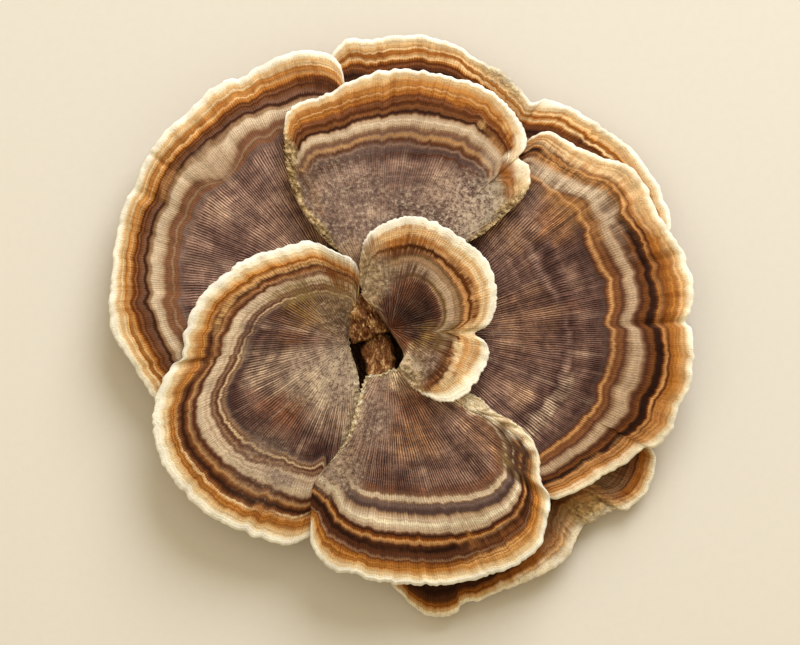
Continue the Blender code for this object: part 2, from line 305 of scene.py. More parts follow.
def makePoreGroup():  # the fine pores under a cap
    group, given, wanted = startGroup("pores", {"v": "Point"}, {"f": "Pore"})
    cells = cellsOf(group, given["Point"], 2.8, "F1")["Distance"]
    group.links.new(remap(group, cells, 0.18, 0.42), wanted["Pore"])
    return group


# what each layer of the skin is multiplied by, at its dark end and at its light end
skinTints = {
    "lines": ((0.60, 0.51, 0.41), (1.32, 1.38, 1.47)), "fine": ((0.84, 0.79, 0.73), (1.13, 1.17, 1.23)),
    "hair": ((0.74, 0.68, 0.66), (1.28, 1.27, 1.24)), "worn": ((0.64, 0.56, 0.57), (1.34, 1.33, 1.30)),
    "blotch": ((0.67, 0.62, 0.63), (1.34, 1.32, 1.28)), "arcs": ((0.76, 0.71, 0.72), (1.22, 1.19, 1.14)),
    # gaps darkens the crust between its crumbs as painted shade and lightens the crumb tops as painted
    # highlight
    "speck": ((0.78, 0.75, 0.71), (1.23, 1.25, 1.28)), "crumbShadeAndHighlight": ((0.62, 0.54, 0.44), (1.14, 1.13, 1.10)),
    "shine": ((1.30, 1.27, 1.23), (1.90, 1.85, 1.79))}
# dark end of each ray: partly the hairs' own colour, partly painted shade in the furrows between them; shine
# is the painted highlight on the hair ridges
furrowShadeTint = (0.28, 0.235, 0.24)
rustTint = (0.70, 0.56, 0.42)


def shadeBy(tree, name, amount, skin, value):
    return blendColour(tree, amount, skin, blendColour(tree, value, *skinTints[name]), "MULTIPLY")


def makeSkinGroup():  # rays, lines, wear and crust laid over the plain bands
    group, given, wanted = startGroup(
        "cap skin", {"c": "Band CrustLow CrustHigh", "v": "Point",
                     "f": "Zone Frayed Fibre Streak Wisp Patch Blotch RayFrom RimFrom RayStrength Crust "
                          "Pitted Under"},
        {"c": "Colour", "f": "Height"})
    zone, pitted = given["Zone"], given["Pitted"]
    crumbs = placeGroup(group, crumbGroup, {"Point": given["Point"]})
    lines = placeGroup(group, lineGroup, {"Zone": given["Frayed"], "Point": given["Point"]})
    # growth lines darken to red brown and lighten to straw
    toRim = calc(group, "SUBTRACT", zone, given["RimFrom"])
    amount = times(group, remap(group, zone, 0.80, 0.90, 0.10, 0.85),
                   remap(group, toRim, -0.03, 0.012, 1.0, 0.10))
    skin = shadeBy(group, "lines", amount, given["Band"], lines["Lines"])
    skin = shadeBy(group, "fine", amount, skin, lines["Fine"])
    # rays are strong inside, faint on the outer bands and gone on the rim
    inner = remap(group, calc(group, "SUBTRACT", zone, given["RayFrom"]), -0.05, 0.02, 1.0, 0.0)
    fresh = calc(group, "MULTIPLY_ADD", calc(group, "SUBTRACT", 1.0, pitted), 0.75, 0.25)
    rays = calc(group, "MAXIMUM", inner, remap(group, zone, 0.86, 0.96, 0.34, 0.04))
    rays = times(group, times(group, rays, given["RayStrength"]), fresh)
    # ray colour is partly the hair's own colour, partly painted shade in the furrows and painted highlight on
    # the ridges
    shine = blendColour(group, inner, *skinTints["shine"])
    skin = blendColour(group, rays, skin, blendColour(group, given["Fibre"], furrowShadeTint, shine), "MULTIPLY")
    skin = shadeBy(group, "hair", times(group, rays, 0.8), skin, remap(group, given["Streak"], 0.28, 0.72))
    wisp = times(group, times(group, remap(group, given["Wisp"], 0.54, 0.74), inner),
                 remap(group, given["Fibre"], 0.2, 0.8, 0.25, 0.75))
    skin = blendColour(group, wisp, skin, linear("ash"))
    # broad worn patches and dim arcs inside
    skin = shadeBy(group, "worn", remap(group, inner, 0.0, 1.0, 0.2, 0.85), skin,
                   remap(group, given["Patch"], 0.34, 0.66))
    skin = shadeBy(group, "blotch", remap(group, inner, 0.0, 1.0, 0.25, 0.85), skin,
                   remap(group, given["Blotch"], 0.34, 0.66))
    skin = shadeBy(group, "arcs", times(group, inner, 0.8), skin, lines["Arcs"])
    # rusty streaks along the rays of the ochre bands
    outerBands = times(group, remap(group, zone, 0.84, 0.88), remap(group, toRim, -0.02, 0.02, 1.0, 0.15))
    streaks = times(group, remap(group, given["Streak"], 0.48, 0.66, 0.0, 0.75), outerBands)
    skin = blendColour(group, streaks, skin, rustTint, "MULTIPLY")
    # fine specks all over
    skin = shadeBy(group, "speck", remap(group, toRim, -0.01, 0.03, 0.6, 0.35), skin,
                   remap(group, crumbs["Speck"], 0.3, 0.7))
    # brown freckles where the pale rim begins
    collar = times(group, remap(group, toRim, -0.03, 0.0), remap(group, toRim, 0.0, 0.04, 1.0, 0.2))
    freckle = times(group, remap(group, crumbs["Speck"], 0.55, 0.68, 0.0, 0.7), collar)
    skin = blendColour(group, freckle, skin, linear("rust"))
    # grey wear with light flecks and dark pits
    dust = blendColour(group, crumbs["Shade"], linear("mauve"), linear("ash"))
    skin = blendColour(group, times(group, pitted, 0.42), skin, dust)
    skin = blendColour(group, times(group, times(group, crumbs["Flecks"], pitted), 0.7), skin, linear("bone"))
    pits = times(group, crumbs["Pits"], pitted)
    skin = blendColour(group, times(group, pits, 0.62), skin, linear("umber"))
    # crumbly crust, with painted shade in the gaps between crumbs and a painted highlight on their tops
    rough = blendColour(group, crumbs["Shade"], given["CrustLow"], given["CrustHigh"])
    rough = shadeBy(group, "crumbShadeAndHighlight", 1.0, rough, crumbs["Grain"])
    skin = blendColour(group, times(group, given["Crust"], 0.92), skin, rough)
    # cream pored face below
    pore = placeGroup(group, poreGroup, {"Point": given["Point"]})["Pore"]
    belly = blendColour(group, pore, linear("pore"), linear("tan"))
    belly = blendColour(group, remap(group, given["Patch"], 0.42, 0.6, 0.0, 0.5), belly, linear("straw"))
    group.links.new(blendColour(group, given["Under"], skin, belly), wanted["Colour"])
    # relief: rays, growth lines, streaks, specks and crumbs stand up, pits sink
    relief = times(group, times(group, given["Fibre"], rays), 0.5)
    for layer, amount in ((lines["Lines"], 0.3), (crumbs["Speck"], 0.5), (pits, -1.4),
                          (given["Streak"], remap(group, zone, 0.90, 0.98, 0.8, 0.25)),
                          (crumbs["Grain"], calc(group, "MULTIPLY_ADD", given["Crust"], 3.0, 0.08))):
        relief = plus(group, relief, times(group, layer, amount))
    group.links.new(blendFloat(group, given["Under"], relief, times(group, pore, -0.6)), wanted["Height"])
    return group


def makeFrayGroup():  # the zone with its band edges frayed along the rays
    group, given, wanted = startGroup("frayed zone", {"v": "Point", "f": "Zone Fray Fibre Streak"},
                                      {"f": "Frayed Rag"})
    frayed = given["Zone"]
    for layer, amount in ((given["Streak"], given["Fray"]), (given["Fibre"], 0.0022),
                          (noise(group, given["Point"], 0.35, 3.0), 0.014)):
        frayed = plus(group, frayed, times(group, calc(group, "SUBTRACT", layer, 0.5), amount))
    group.links.new(frayed, wanted["Frayed"])
    group.links.new(remap(group, given["Streak"], 0.30, 0.70, 0.45, 1.5), wanted["Rag"])
    return group


fibreGroup = makeFibreGroup()
lineGroup = makeLineGroup()
crumbGroup = makeCrumbGroup()
poreGroup = makePoreGroup()
skinGroup = makeSkinGroup()
frayGroup = makeFrayGroup()
print("shader groups made")


def startMaterial(name):
    material = bpy.data.materials.new(name)
    material.use_nodes = True
    tree = material.node_tree
    return material, tree, tree.nodes["Principled BSDF"]


def finishMaterial(tree, shader, colour, roughness, specular, height=None, strength=1.0, depth=0.0):
    tree.links.new(colour, shader.inputs["Base Color"])
    shader.inputs["Roughness"].default_value = roughness
    shader.inputs["Specular IOR Level"].default_value = specular
    if height is not None:
        bump = wire(tree, "ShaderNodeBump", {"Height": height, "Strength": strength, "Distance": depth * mm})
        tree.links.new(bump.outputs[0], shader.inputs["Normal"])


def attribute(tree, name):
    return wire(tree, "ShaderNodeAttribute", attribute_name=name).outputs


def pointFrom(tree, x, y):  # object coordinates in millimetres from a place in plan
    coords = wire(tree, "ShaderNodeTexCoord").outputs["Object"]
    return shift(tree, "MULTIPLY_ADD", coords, (1.0 / mm,) * 3, (-x, -y, 0.0))[0]


mostStops = 32  # a colour ramp holds no more


def bandRamp(tree, value, bands):
    if len(bands) > mostStops:
        middle = len(bands) // 2
        outside = calc(tree, "GREATER_THAN", value, bands[middle][0])
        return blendColour(tree, outside, bandRamp(tree, value, bands[:middle + 1]),
                           bandRamp(tree, value, bands[middle:]))
    ramp = wire(tree, "ShaderNodeValToRGB", {0: value})
    stops = ramp.color_ramp.elements
    for number, (place, paint) in enumerate(bands):
        stop = stops[number] if number < 2 else stops.new(place)
        stop.position = place
        stop.color = (*linear(paint), 1.0)
    return ramp.outputs[0]


def makeCapMaterial(cap):
    material, tree, shader = startMaterial(cap["name"] + " skin")
    point = pointFrom(tree, *cap["growth"])
    zone = attribute(tree, "zone")["Fac"]
    fibres = placeGroup(tree, fibreGroup, {"Point": point})
    edge = placeGroup(tree, frayGroup, {"Point": point, "Zone": zone, "Fibre": fibres["Fibre"],
                                        "Streak": fibres["Streak"], "Fray": cap.get("fray", 0.007)})
    stain = attribute(tree, "stain")
    stained = wire(tree, "ShaderNodeMath", {0: stain["Alpha"], 1: edge["Rag"]}, operation="MULTIPLY",
                   use_clamp=True).outputs[0]
    band = blendColour(tree, stained, bandRamp(tree, edge["Frayed"], cap["bands"]), stain["Color"])
    low, high = cap.get("crustPaints", ("moss", "honey"))
    given = {"Band": band, "Zone": zone, "Frayed": edge["Frayed"], "Point": point,
             "RayFrom": cap["rayFrom"], "RimFrom": cap["rimFrom"],
             "RayStrength": cap.get("rayStrength", 0.9),
             "CrustLow": (*linear(low), 1.0), "CrustHigh": (*linear(high), 1.0)}
    given.update({name: fibres[name] for name in ("Fibre", "Streak", "Wisp", "Patch", "Blotch")})
    given.update({name: attribute(tree, name.lower())["Fac"] for name in ("Crust", "Pitted", "Under")})
    skin = placeGroup(tree, skinGroup, given)
    finishMaterial(tree, shader, skin["Colour"], 0.82, 0.12, skin["Height"], 0.8, 0.25)
    return material


def spinRings(name, places, steps):  # a closed body of rings spun around the upright axis
    mesh = bmesh.new()
    verts = [mesh.verts.new(place) for place in places]
    edges = [mesh.edges.new(pair) for pair in zip(verts, verts[1:])]
    bmesh.ops.spin(mesh, geom=verts + edges, cent=(0, 0, 0), axis=(0, 0, 1),
                   angle=fullTurn, steps=steps, use_merge=True)
    bmesh.ops.remove_doubles(mesh, verts=mesh.verts[:], dist=0.00002)
    bmesh.ops.recalc_face_normals(mesh, faces=mesh.faces[:])
    for face in mesh.faces:
        face.smooth = True
    data = bpy.data.meshes.new(name)
    mesh.to_mesh(data)
    mesh.free()
    return data


def readPlaces(mesh):
    flat = np.empty(len(mesh.vertices) * 3, dtype=np.float32)
    mesh.vertices.foreach_get("co", flat)
    return flat.reshape(-1, 3).astype(float)


def finishPiece(look, mesh, x, y, z, material):
    mesh.vertices.foreach_set("co", (np.column_stack([x, y, z]) * mm).astype(np.float32).ravel())
    mesh.materials.append(material)
    mesh.update()
    piece = bpy.data.objects.new(look["name"], mesh)
    bpy.context.scene.collection.objects.link(piece)
    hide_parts(look["node"])
    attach(piece, "root")
    print(look["name"], "built,", len(mesh.polygons), "faces")


# one disc serves every cap: rings from the middle over the rounded rim to the underside
discLook = {"steps": 640, "innerRings": 12, "outerRings": 74, "rimRings": 9, "rimWidth": 0.02,
            "smoothSteps": 11,
            "underRings": (1.0, 0.97, 0.93, 0.87, 0.79, 0.69, 0.58, 0.46, 0.34, 0.22, 0.11, 0.0)}


def makeUnitDisc():
    look = discLook
    edge = 1.0 - look["rimWidth"]
    rings = [(r, 0.0, 1.0) for r in np.linspace(0.0, 0.5, look["innerRings"])]
    rings += [(r, 0.0, 1.0) for r in np.linspace(0.5, edge, look["outerRings"])[1:]]
    rings += [(edge + look["rimWidth"] * math.cos(a), 0.0, math.sin(a))
              for a in np.linspace(math.pi / 2, -math.pi / 2, look["rimRings"])[1:-1]]
    rings += [(edge * r, 0.0, -1.0) for r in look["underRings"]]
    return spinRings("cap disc", rings, look["steps"])


def writeFloat(mesh, name, values):
    layer = mesh.attributes.new(name, "FLOAT", "POINT")
    layer.data.foreach_set("value", np.asarray(values, dtype=np.float32))


def turnGap(turns, place):  # how far along the margin a point lies from a place, the short way round
    return (turns - place + 0.5) % 1.0 - 0.5


def spanMask(turns, start, end, soft):  # 1 between two places along the margin, 0 outside
    width = (end - start) % 1.0
    inside = (turns - start) % 1.0
    return ease(0.0, soft, inside) * (1.0 - ease(width - soft, width, inside)) * (inside < width)


def bandZone(cap, ring, step, radius):  # how far out a point lies, counted in bands
    course = np.array(cap["course"])
    keys = (0.0, *cap["keys"], 1.0)
    past = 1.0 + (course[:, -1:] - 1.0).clip(0.0, None) * 1.2
    course = np.hstack([course, np.where(course[:, -1:] < 1.0, 1.0, past)])
    edges = [np.zeros(len(ring))]
    window = np.hanning(discLook["smoothSteps"])
    for column in range(1, course.shape[1]):
        line = np.interp(ring, course[:, 0], course[:, column], period=1.0)
        line = np.convolve(np.tile(line, 3), window / window.sum(), "same")[len(ring):2 * len(ring)]
        edges.append(np.maximum(line, edges[-1] + 0.001))
    zone = np.zeros_like(radius)
    for number in range(1, len(keys)):
        low, high = edges[number - 1][step], edges[number][step]
        zone += (keys[number] - keys[number - 1]) * np.clip((radius - low) / (high - low), 0.0, 1.0)
    return zone


# wobbles along a margin: size, fewest waves, most waves; each has its own seed, in this order
marginWaves = {"scallop": (0.13, 20, 55), "nibble": (0.07, 60, 130), "bandSway": (0.0030, 12, 40),
               "bandShake": (0.0010, 50, 110), "pleat": (0.10, 18, 46), "ragged": (0.24, 90, 170)}
# relief is full where the margin is this far from the middle, and less on the underside
reliefLook = {"fullReach": 20.0, "upperFrom": -0.2, "underShare": 0.35, "crustGrain": 0.8,
              "crustBite": 0.1, "crustEnds": 0.02, "crustSide": 0.04}


def sway(cap, name, turns):
    size, fewest, most = marginWaves[name]
    return size * wander(turns, cap["seed"] + list(marginWaves).index(name), fewest, most)


def stainLayer(cap, x, y, turns, radius):  # blotches by place along the margin or by place in plan
    stain = np.zeros((len(x), 4))
    layers = [(np.hypot(turnGap(turns, place) / along, (radius - out) / across), paint, strength)
              for place, out, along, across, paint, strength in cap["stains"]]
    layers += [(np.hypot(x - spotX, y - spotY) / size, paint, strength)
               for spotX, spotY, size, paint, strength in cap["spots"]]
    for number, (gap, paint, strength) in enumerate(layers):
        gap = gap * (0.72 + 0.56 * speckle(x * 0.5, y * 0.5, number * 3.1))
        near = strength * (1.0 - ease(0.35, 1.0, gap))
        keep = stain[:, 3] * (1.0 - near)
        mixed = stain[:, :3] * keep[:, None] + np.array(linear(paint)) * near[:, None]
        stain[:, 3] = keep + near
        stain[:, :3] = mixed / np.maximum(stain[:, 3:4], 1e-6)
    return stain


def buildCap(cap, disc):
    steps = discLook["steps"]
    mesh = disc.copy()
    mesh.name = cap["name"]
    unit = readPlaces(mesh)
    radius = np.hypot(unit[:, 0], unit[:, 1])
    step = np.rint(np.arctan2(unit[:, 1], unit[:, 0]) / fullTurn * steps).astype(int) % steps
    turns = step / steps
    side = unit[:, 2]
    upper = side > reliefLook["upperFrom"]
    rim = evenSteps(cap["curve"], steps)
    middle = np.array(cap["middle"], dtype=float)
    # small bites and scallops along the margin
    ring = np.arange(steps) / steps
    reachOut = np.linalg.norm(rim - middle, axis=1)
    scallop = (sway(cap, "scallop", ring) + sway(cap, "nibble", ring)) * ease(3.0, 15.0, reachOut)
    ragged = np.zeros_like(ring)
    for start, end, depth, strength in cap["crusts"]:
        ragged = np.maximum(ragged, strength * spanMask(ring, start, end, 0.03))
    scallop = scallop + ragged * (sway(cap, "ragged", ring) - reliefLook["crustBite"])
    rim = rim + (rim - middle) / reachOut[:, None] * scallop[:, None]
    x, y = (middle + (rim[step] - middle) * radius[:, None]).T
    # bands follow the courses measured along the margin, with a little sway
    bandSway = sway(cap, "bandSway", ring) + sway(cap, "bandShake", ring)
    zone = bandZone(cap, ring, step, radius) + bandSway[step] * ease(0.0, 0.10, 1.0 - radius)
    # relief: ridges along bands, pleats towards the margin, creases and crumbs
    relief = sway(cap, "pleat", turns) * ease(0.5, 0.95, radius)
    for place, lift, width in cap["ridges"]:
        relief += lift * np.exp(-((zone - place) / width) ** 2)
    for place, depth, width in cap["creases"]:
        relief -= depth * np.exp(-(turnGap(turns, place) / width) ** 2) * ease(0.62, 0.95, radius)
    crust = np.zeros_like(x)
    soft = reliefLook["crustSide"]
    for start, end, depth, strength in cap["crusts"]:
        wobble = depth * (0.7 + 0.6 * speckle(turns * 70.0, radius * 3.0, cap["seed"]))
        crust = np.maximum(crust, strength * spanMask(turns, start, end, reliefLook["crustEnds"]) *
                           ease(1.0 - wobble - soft, 1.0 - wobble + soft, radius))
    grains = speckle(x * 1.2, y * 1.2, 3) - 0.5 + 0.6 * (speckle(x * 2.4, y * 2.4, 5) - 0.5)
    relief = relief * np.clip(reachOut[step] / reliefLook["fullReach"], 0.0, 1.0)
    relief = relief + reliefLook["crustGrain"] * crust * grains
    z = topHeight(cap, x, y) + relief * np.where(upper, 1.0, reliefLook["underShare"])
    z = z - thicknessAt(cap, x, y) * (1.0 - side) / 2.0
    pitted = np.zeros_like(x)
    for pitX, pitY, size, strength in cap["pits"]:
        gap = np.hypot(x - pitX, y - pitY) / size
        pitted = np.maximum(pitted, strength * (1.0 - ease(0.4, 1.0, gap)))
    writeFloat(mesh, "zone", zone)
    writeFloat(mesh, "crust", np.where(upper, crust, 0.0))
    writeFloat(mesh, "under", ease(0.25, 0.75, -side))
    writeFloat(mesh, "pitted", pitted)
    layer = mesh.attributes.new("stain", "FLOAT_COLOR", "POINT")
    stain = stainLayer(cap, x, y, turns, radius)
    layer.data.foreach_set("color", stain.astype(np.float32).ravel())
    finishPiece(cap, mesh, x, y, z, makeCapMaterial(cap))


# Margins run anticlockwise, and a place is a share of the way round. A course row is a place,
# then how far out each key band lies there. Bands: zone, paint. Creases: place, depth, width.
# Crusts: start, end, depth, strength. Ridges: zone, lift, width. Stains: place, how far out,
# reach along, reach across, paint, strength. Spots: x, y, size, paint, strength. Pits: x, y,
# size, strength.
underCap = {
    "name": "underCap", "node": "under_cap", "slot": "cap_tan", "seed": 11, "middle": (12, -13),
    "reach": 47, "growth": (12, -13), "hub": 7.2, "edge": 6.2, "droop": 1.0, "ripple": (0.8, 5, 0.4),
    "restsOn": [], "keys": (0.9, 0.94, 0.965, 0.985), "rayFrom": 0.6, "rimFrom": 0.985,
    "margin":
        "3 -49, 6 -53.5, 12 -58, 14 -58, 17.5 -57, 18.5 -55.5, 22 -54.5, 27 -52.5, 31 -51, 35.5 -49, "
        "40 -46, 42 -42.5, 43 -40, 46.5 -38, 50 -36, 52.5 -36, 55.5 -33.5, 57.5 -30.5, 58.5 -27, 58 -24, "
        "54.5 -19.5, 44.5 -13.5, 30.5 -7.5, 17 -5, 9 -6.5, 5 -11, 2.5 -18, 1.5 -29.5, 2 -41",
    # the umber and soot bands inside 0.93 are partly the cap's own dark zones, partly painted shade under the
    # caps that overhang it
    "bands":
        "0 dusk, 0.45 plum, 0.6 dusk, 0.7 umber, 0.76 chestnut, 0.8 umber, 0.86 soot, 0.9 umber, "
        "0.92 chestnut, 0.935 rust, 0.95 rust, 0.96 tan, 0.97 apricot, 0.979 straw, 0.988 cream, 1 white",
    "course":
        "0.04 0.925 0.945 0.965 0.985, 0.11 0.92 0.945 0.965 0.98, 0.16 0.915 0.945 0.97 0.99, "
        "0.2 0.9 0.93 0.955 0.975, 0.24 0.8 0.89 0.935 0.955, 0.28 0.8 0.87 0.92 0.965, "
        "0.31 0.78 0.85 0.93 0.97, 0.345 0.8 0.87 0.92 0.96, 0.37 0.89 0.93 0.96 0.98, "
        "0.42 0.9 0.94 0.965 0.985",
    "creases": "0.12 0.4 0.008, 0.295 0.9 0.012, 0.335 0.5 0.008",
    "crusts": "0.285 0.36 0.14 0.6",
    "ridges": "0.985 0.12 0.02, 0.9 -0.2 0.03, 0.84 0.12 0.03",
    "stains": "0.31 0.9 0.05 0.1 olive 0.4, 0.27 0.86 0.03 0.08 moss 0.4",
    "spots":
        "48 -30 6 fawn 0.6, 44 -33 5 tan 0.6, 52 -27 4 brick 0.6, 40 -38 5 fawn 0.6, 33 -46 3.4 rust 0.5, "
        "37 -43 4 fawn 0.5, 27 -52 2.2 cream 0.6, 31.5 -50.6 2.4 cream 0.8, 36 -48.4 2.6 cream 0.8, "
        "40.4 -45 2.6 cream 0.8, 42.6 -41 2.4 cream 0.8, 46 -38 2.4 cream 0.7"}

backCap = {
    "name": "backCap", "node": "back_cap", "slot": "cap_tan", "seed": 23, "middle": (7, 13), "reach": 54,
    "growth": (7, 12), "hub": 9.2, "edge": 8.6, "droop": 0.8, "ripple": (0.8, 6, 1.0), "restsOn": [],
    "keys": (0.855, 0.888, 0.912, 0.955, 0.975), "rayFrom": 0.7, "rimFrom": 0.968,
    "margin":
        "61.5 23, 60 28.5, 58 32.5, 53.5 38.5, 47.5 43, 42 46.5, 38.5 48, 36 49, 33 48, 30.5 51, 27 54.5, "
        "21.5 57, 18 59.5, 12.5 61.5, 5.5 62, -0.5 61, -3.5 61.5, -6 60.5, -8.5 58, -10 54.5, -11 49.5, "
        "-10 39, -7.5 27, -4 17, 0 10.5, 5.5 9, 16 8, 30.5 10.5, 46.5 14.5, 58 18",
    "bands":
        "0 dusk, 0.55 plum, 0.7 dusk, 0.72 fawn, 0.74 pale, 0.79 pale, 0.8 umber, 0.835 soot, "
        "0.848 umber, 0.857 bark, 0.865 brick, 0.873 bark, 0.884 bark, 0.89 rust, 0.896 ochre, "
        "0.901 apricot, 0.906 straw, 0.911 apricot, 0.916 tan, 0.921 rust, 0.928 rust, 0.934 ochre, "
        "0.94 apricot, 0.946 straw, 0.952 apricot, 0.959 apricot, 0.966 straw, 0.975 straw, 0.983 cream, "
        "0.993 white",
    "course":
        "0.02 0.85 0.88 0.91 0.955 0.975, 0.1 0.87 0.9 0.918 0.958 0.978, "
        "0.165 0.86 0.885 0.915 0.955 0.975, 0.185 0.83 0.85 0.875 0.915 0.94, "
        "0.195 0.86 0.88 0.9 0.93 0.96, 0.207 0.885 0.905 0.925 0.955 0.98, "
        "0.24 0.87 0.89 0.905 0.94 0.965, 0.27 0.895 0.91 0.93 0.965 0.985, "
        "0.3 0.885 0.905 0.94 0.962 0.98, 0.33 0.868 0.89 0.915 0.955 0.975, "
        "0.38 0.86 0.89 0.91 0.955 0.975, 0.41 0.86 0.89 0.918 0.95 0.972, "
        "0.43 0.9 0.91 0.93 0.955 0.975, 0.6 0.86 0.89 0.91 0.955 0.975",
    "creases": "0.185 1.1 0.01, 0.225 0.3 0.006, 0.262 0.5 0.006",
    "crusts": "0.205 0.28 0.05 0.45, 0.08 0.15 0.03 0.2",
    "ridges": "0.985 0.14 0.02, 0.93 -0.05 0.015, 0.88 -0.2 0.02, 0.77 0.12 0.03",
    "stains": "0.245 0.955 0.02 0.03 pale 0.6, 0.13 0.895 0.035 0.02 umber 0.7"}

leftCap = {
    "name": "leftCap", "node": "left_cap", "slot": "cap_brown", "seed": 31, "middle": (-7, 9), "reach": 52,
    "growth": (-6.5, 9.4), "hub": 12.6, "edge": 11.2, "droop": 1.6, "ripple": (1.1, 6, 0.2),
    "restsOn": ["back_cap"], "keys": (0.69, 0.745, 0.83, 0.892, 0.93, 0.966), "rayFrom": 0.7,
    "rimFrom": 0.962,
    "margin":
        "-6 54, -7 56.5, -10.5 58.5, -16 58.5, -21.5 56.5, -27.5 53, -30.5 52.5, -34 50, -38.5 45.5, "
        "-43.5 41, -47.5 34.5, -49.5 29.5, -50.5 28.5, -52.5 21.5, -53.5 13.5, -54 6.5, -54 2.5, "
        "-52.5 -1, -48.5 -7, -45 -12.5, -40.5 -15.5, -31 -15.5, -19 -12, -11 -6, -7.5 -0.5, -6 5, "
        "-4.5 10.5, -3.5 16.5, -4 25, -4.5 35, -5 45.5, -5.5 51",
    "bands":
        "0 dusk, 0.45 plum, 0.6 mauve, 0.67 plum, 0.69 plum, 0.697 sienna, 0.704 brick, 0.711 sienna, "
        "0.719 fawn, 0.727 sienna, 0.736 brick, 0.745 sienna, 0.753 fawn, 0.762 pale, 0.785 bone, "
        "0.802 bone, 0.811 fawn, 0.819 fawn, 0.827 umber, 0.835 soot, 0.843 sienna, 0.852 sienna, "
        "0.86 chestnut, 0.867 umber, 0.874 brick, 0.88 chestnut, 0.887 bark, 0.893 rust, 0.899 ochre, "
        "0.905 tan, 0.911 apricot, 0.917 tan, 0.923 ochre, 0.93 ochre, 0.938 apricot, 0.946 straw, "
        "0.953 straw, 0.962 apricot, 0.969 straw, 0.977 cream, 0.99 white",
    "course":
        "0 0.68 0.74 0.8 0.9 0.935 0.965, 0.04 0.68 0.74 0.815 0.895 0.93 0.965, "
        "0.09 0.69 0.75 0.805 0.89 0.93 0.96, 0.115 0.7 0.755 0.845 0.9 0.945 0.968, "
        "0.14 0.685 0.755 0.83 0.885 0.925 0.96, 0.165 0.67 0.74 0.835 0.885 0.925 0.96, "
        "0.19 0.665 0.69 0.85 0.89 0.93 0.965, 0.215 0.665 0.685 0.85 0.89 0.93 0.965, "
        "0.235 0.69 0.755 0.855 0.895 0.935 0.965, 0.26 0.71 0.775 0.855 0.9 0.94 0.965, "
        "0.3 0.71 0.77 0.85 0.9 0.935 0.965, 0.34 0.705 0.765 0.855 0.91 0.94 0.965, "
        "0.38 0.69 0.755 0.845 0.905 0.935 0.965, 0.41 0.68 0.75 0.825 0.9 0.925 0.955, "
        "0.43 0.675 0.745 0.8 0.88 0.91 0.95, 0.47 0.67 0.74 0.825 0.89 0.93 0.965, "
        "0.52 0.67 0.74 0.83 0.9 0.93 0.965, 0.8 0.7 0.75 0.83 0.89 0.93 0.965",
    "creases": "0.245 0.5 0.004, 0.435 0.4 0.02, 0.285 0.2 0.004, 0.17 0.25 0.006",
    "ridges": "0.985 0.16 0.02, 0.94 -0.06 0.012, 0.86 -0.22 0.025, 0.8 0.16 0.03, 0.72 -0.1 0.02",
    "stains":
        "0.205 0.76 0.04 0.09 pale 0.7, 0.26 0.61 0.03 0.07 ash 0.45, 0.26 0.87 0.03 0.03 tan 0.5, "
        "0.33 0.875 0.05 0.02 brick 0.4, 0.4 0.73 0.04 0.03 brick 0.5, 0.205 0.62 0.02 0.08 mauve 0.5, "
        "0.03 0.86 0.03 0.06 umber 0.6",
    "spots": "-18 24 9 ash 0.4, -10 20 5 fawn 0.4"}

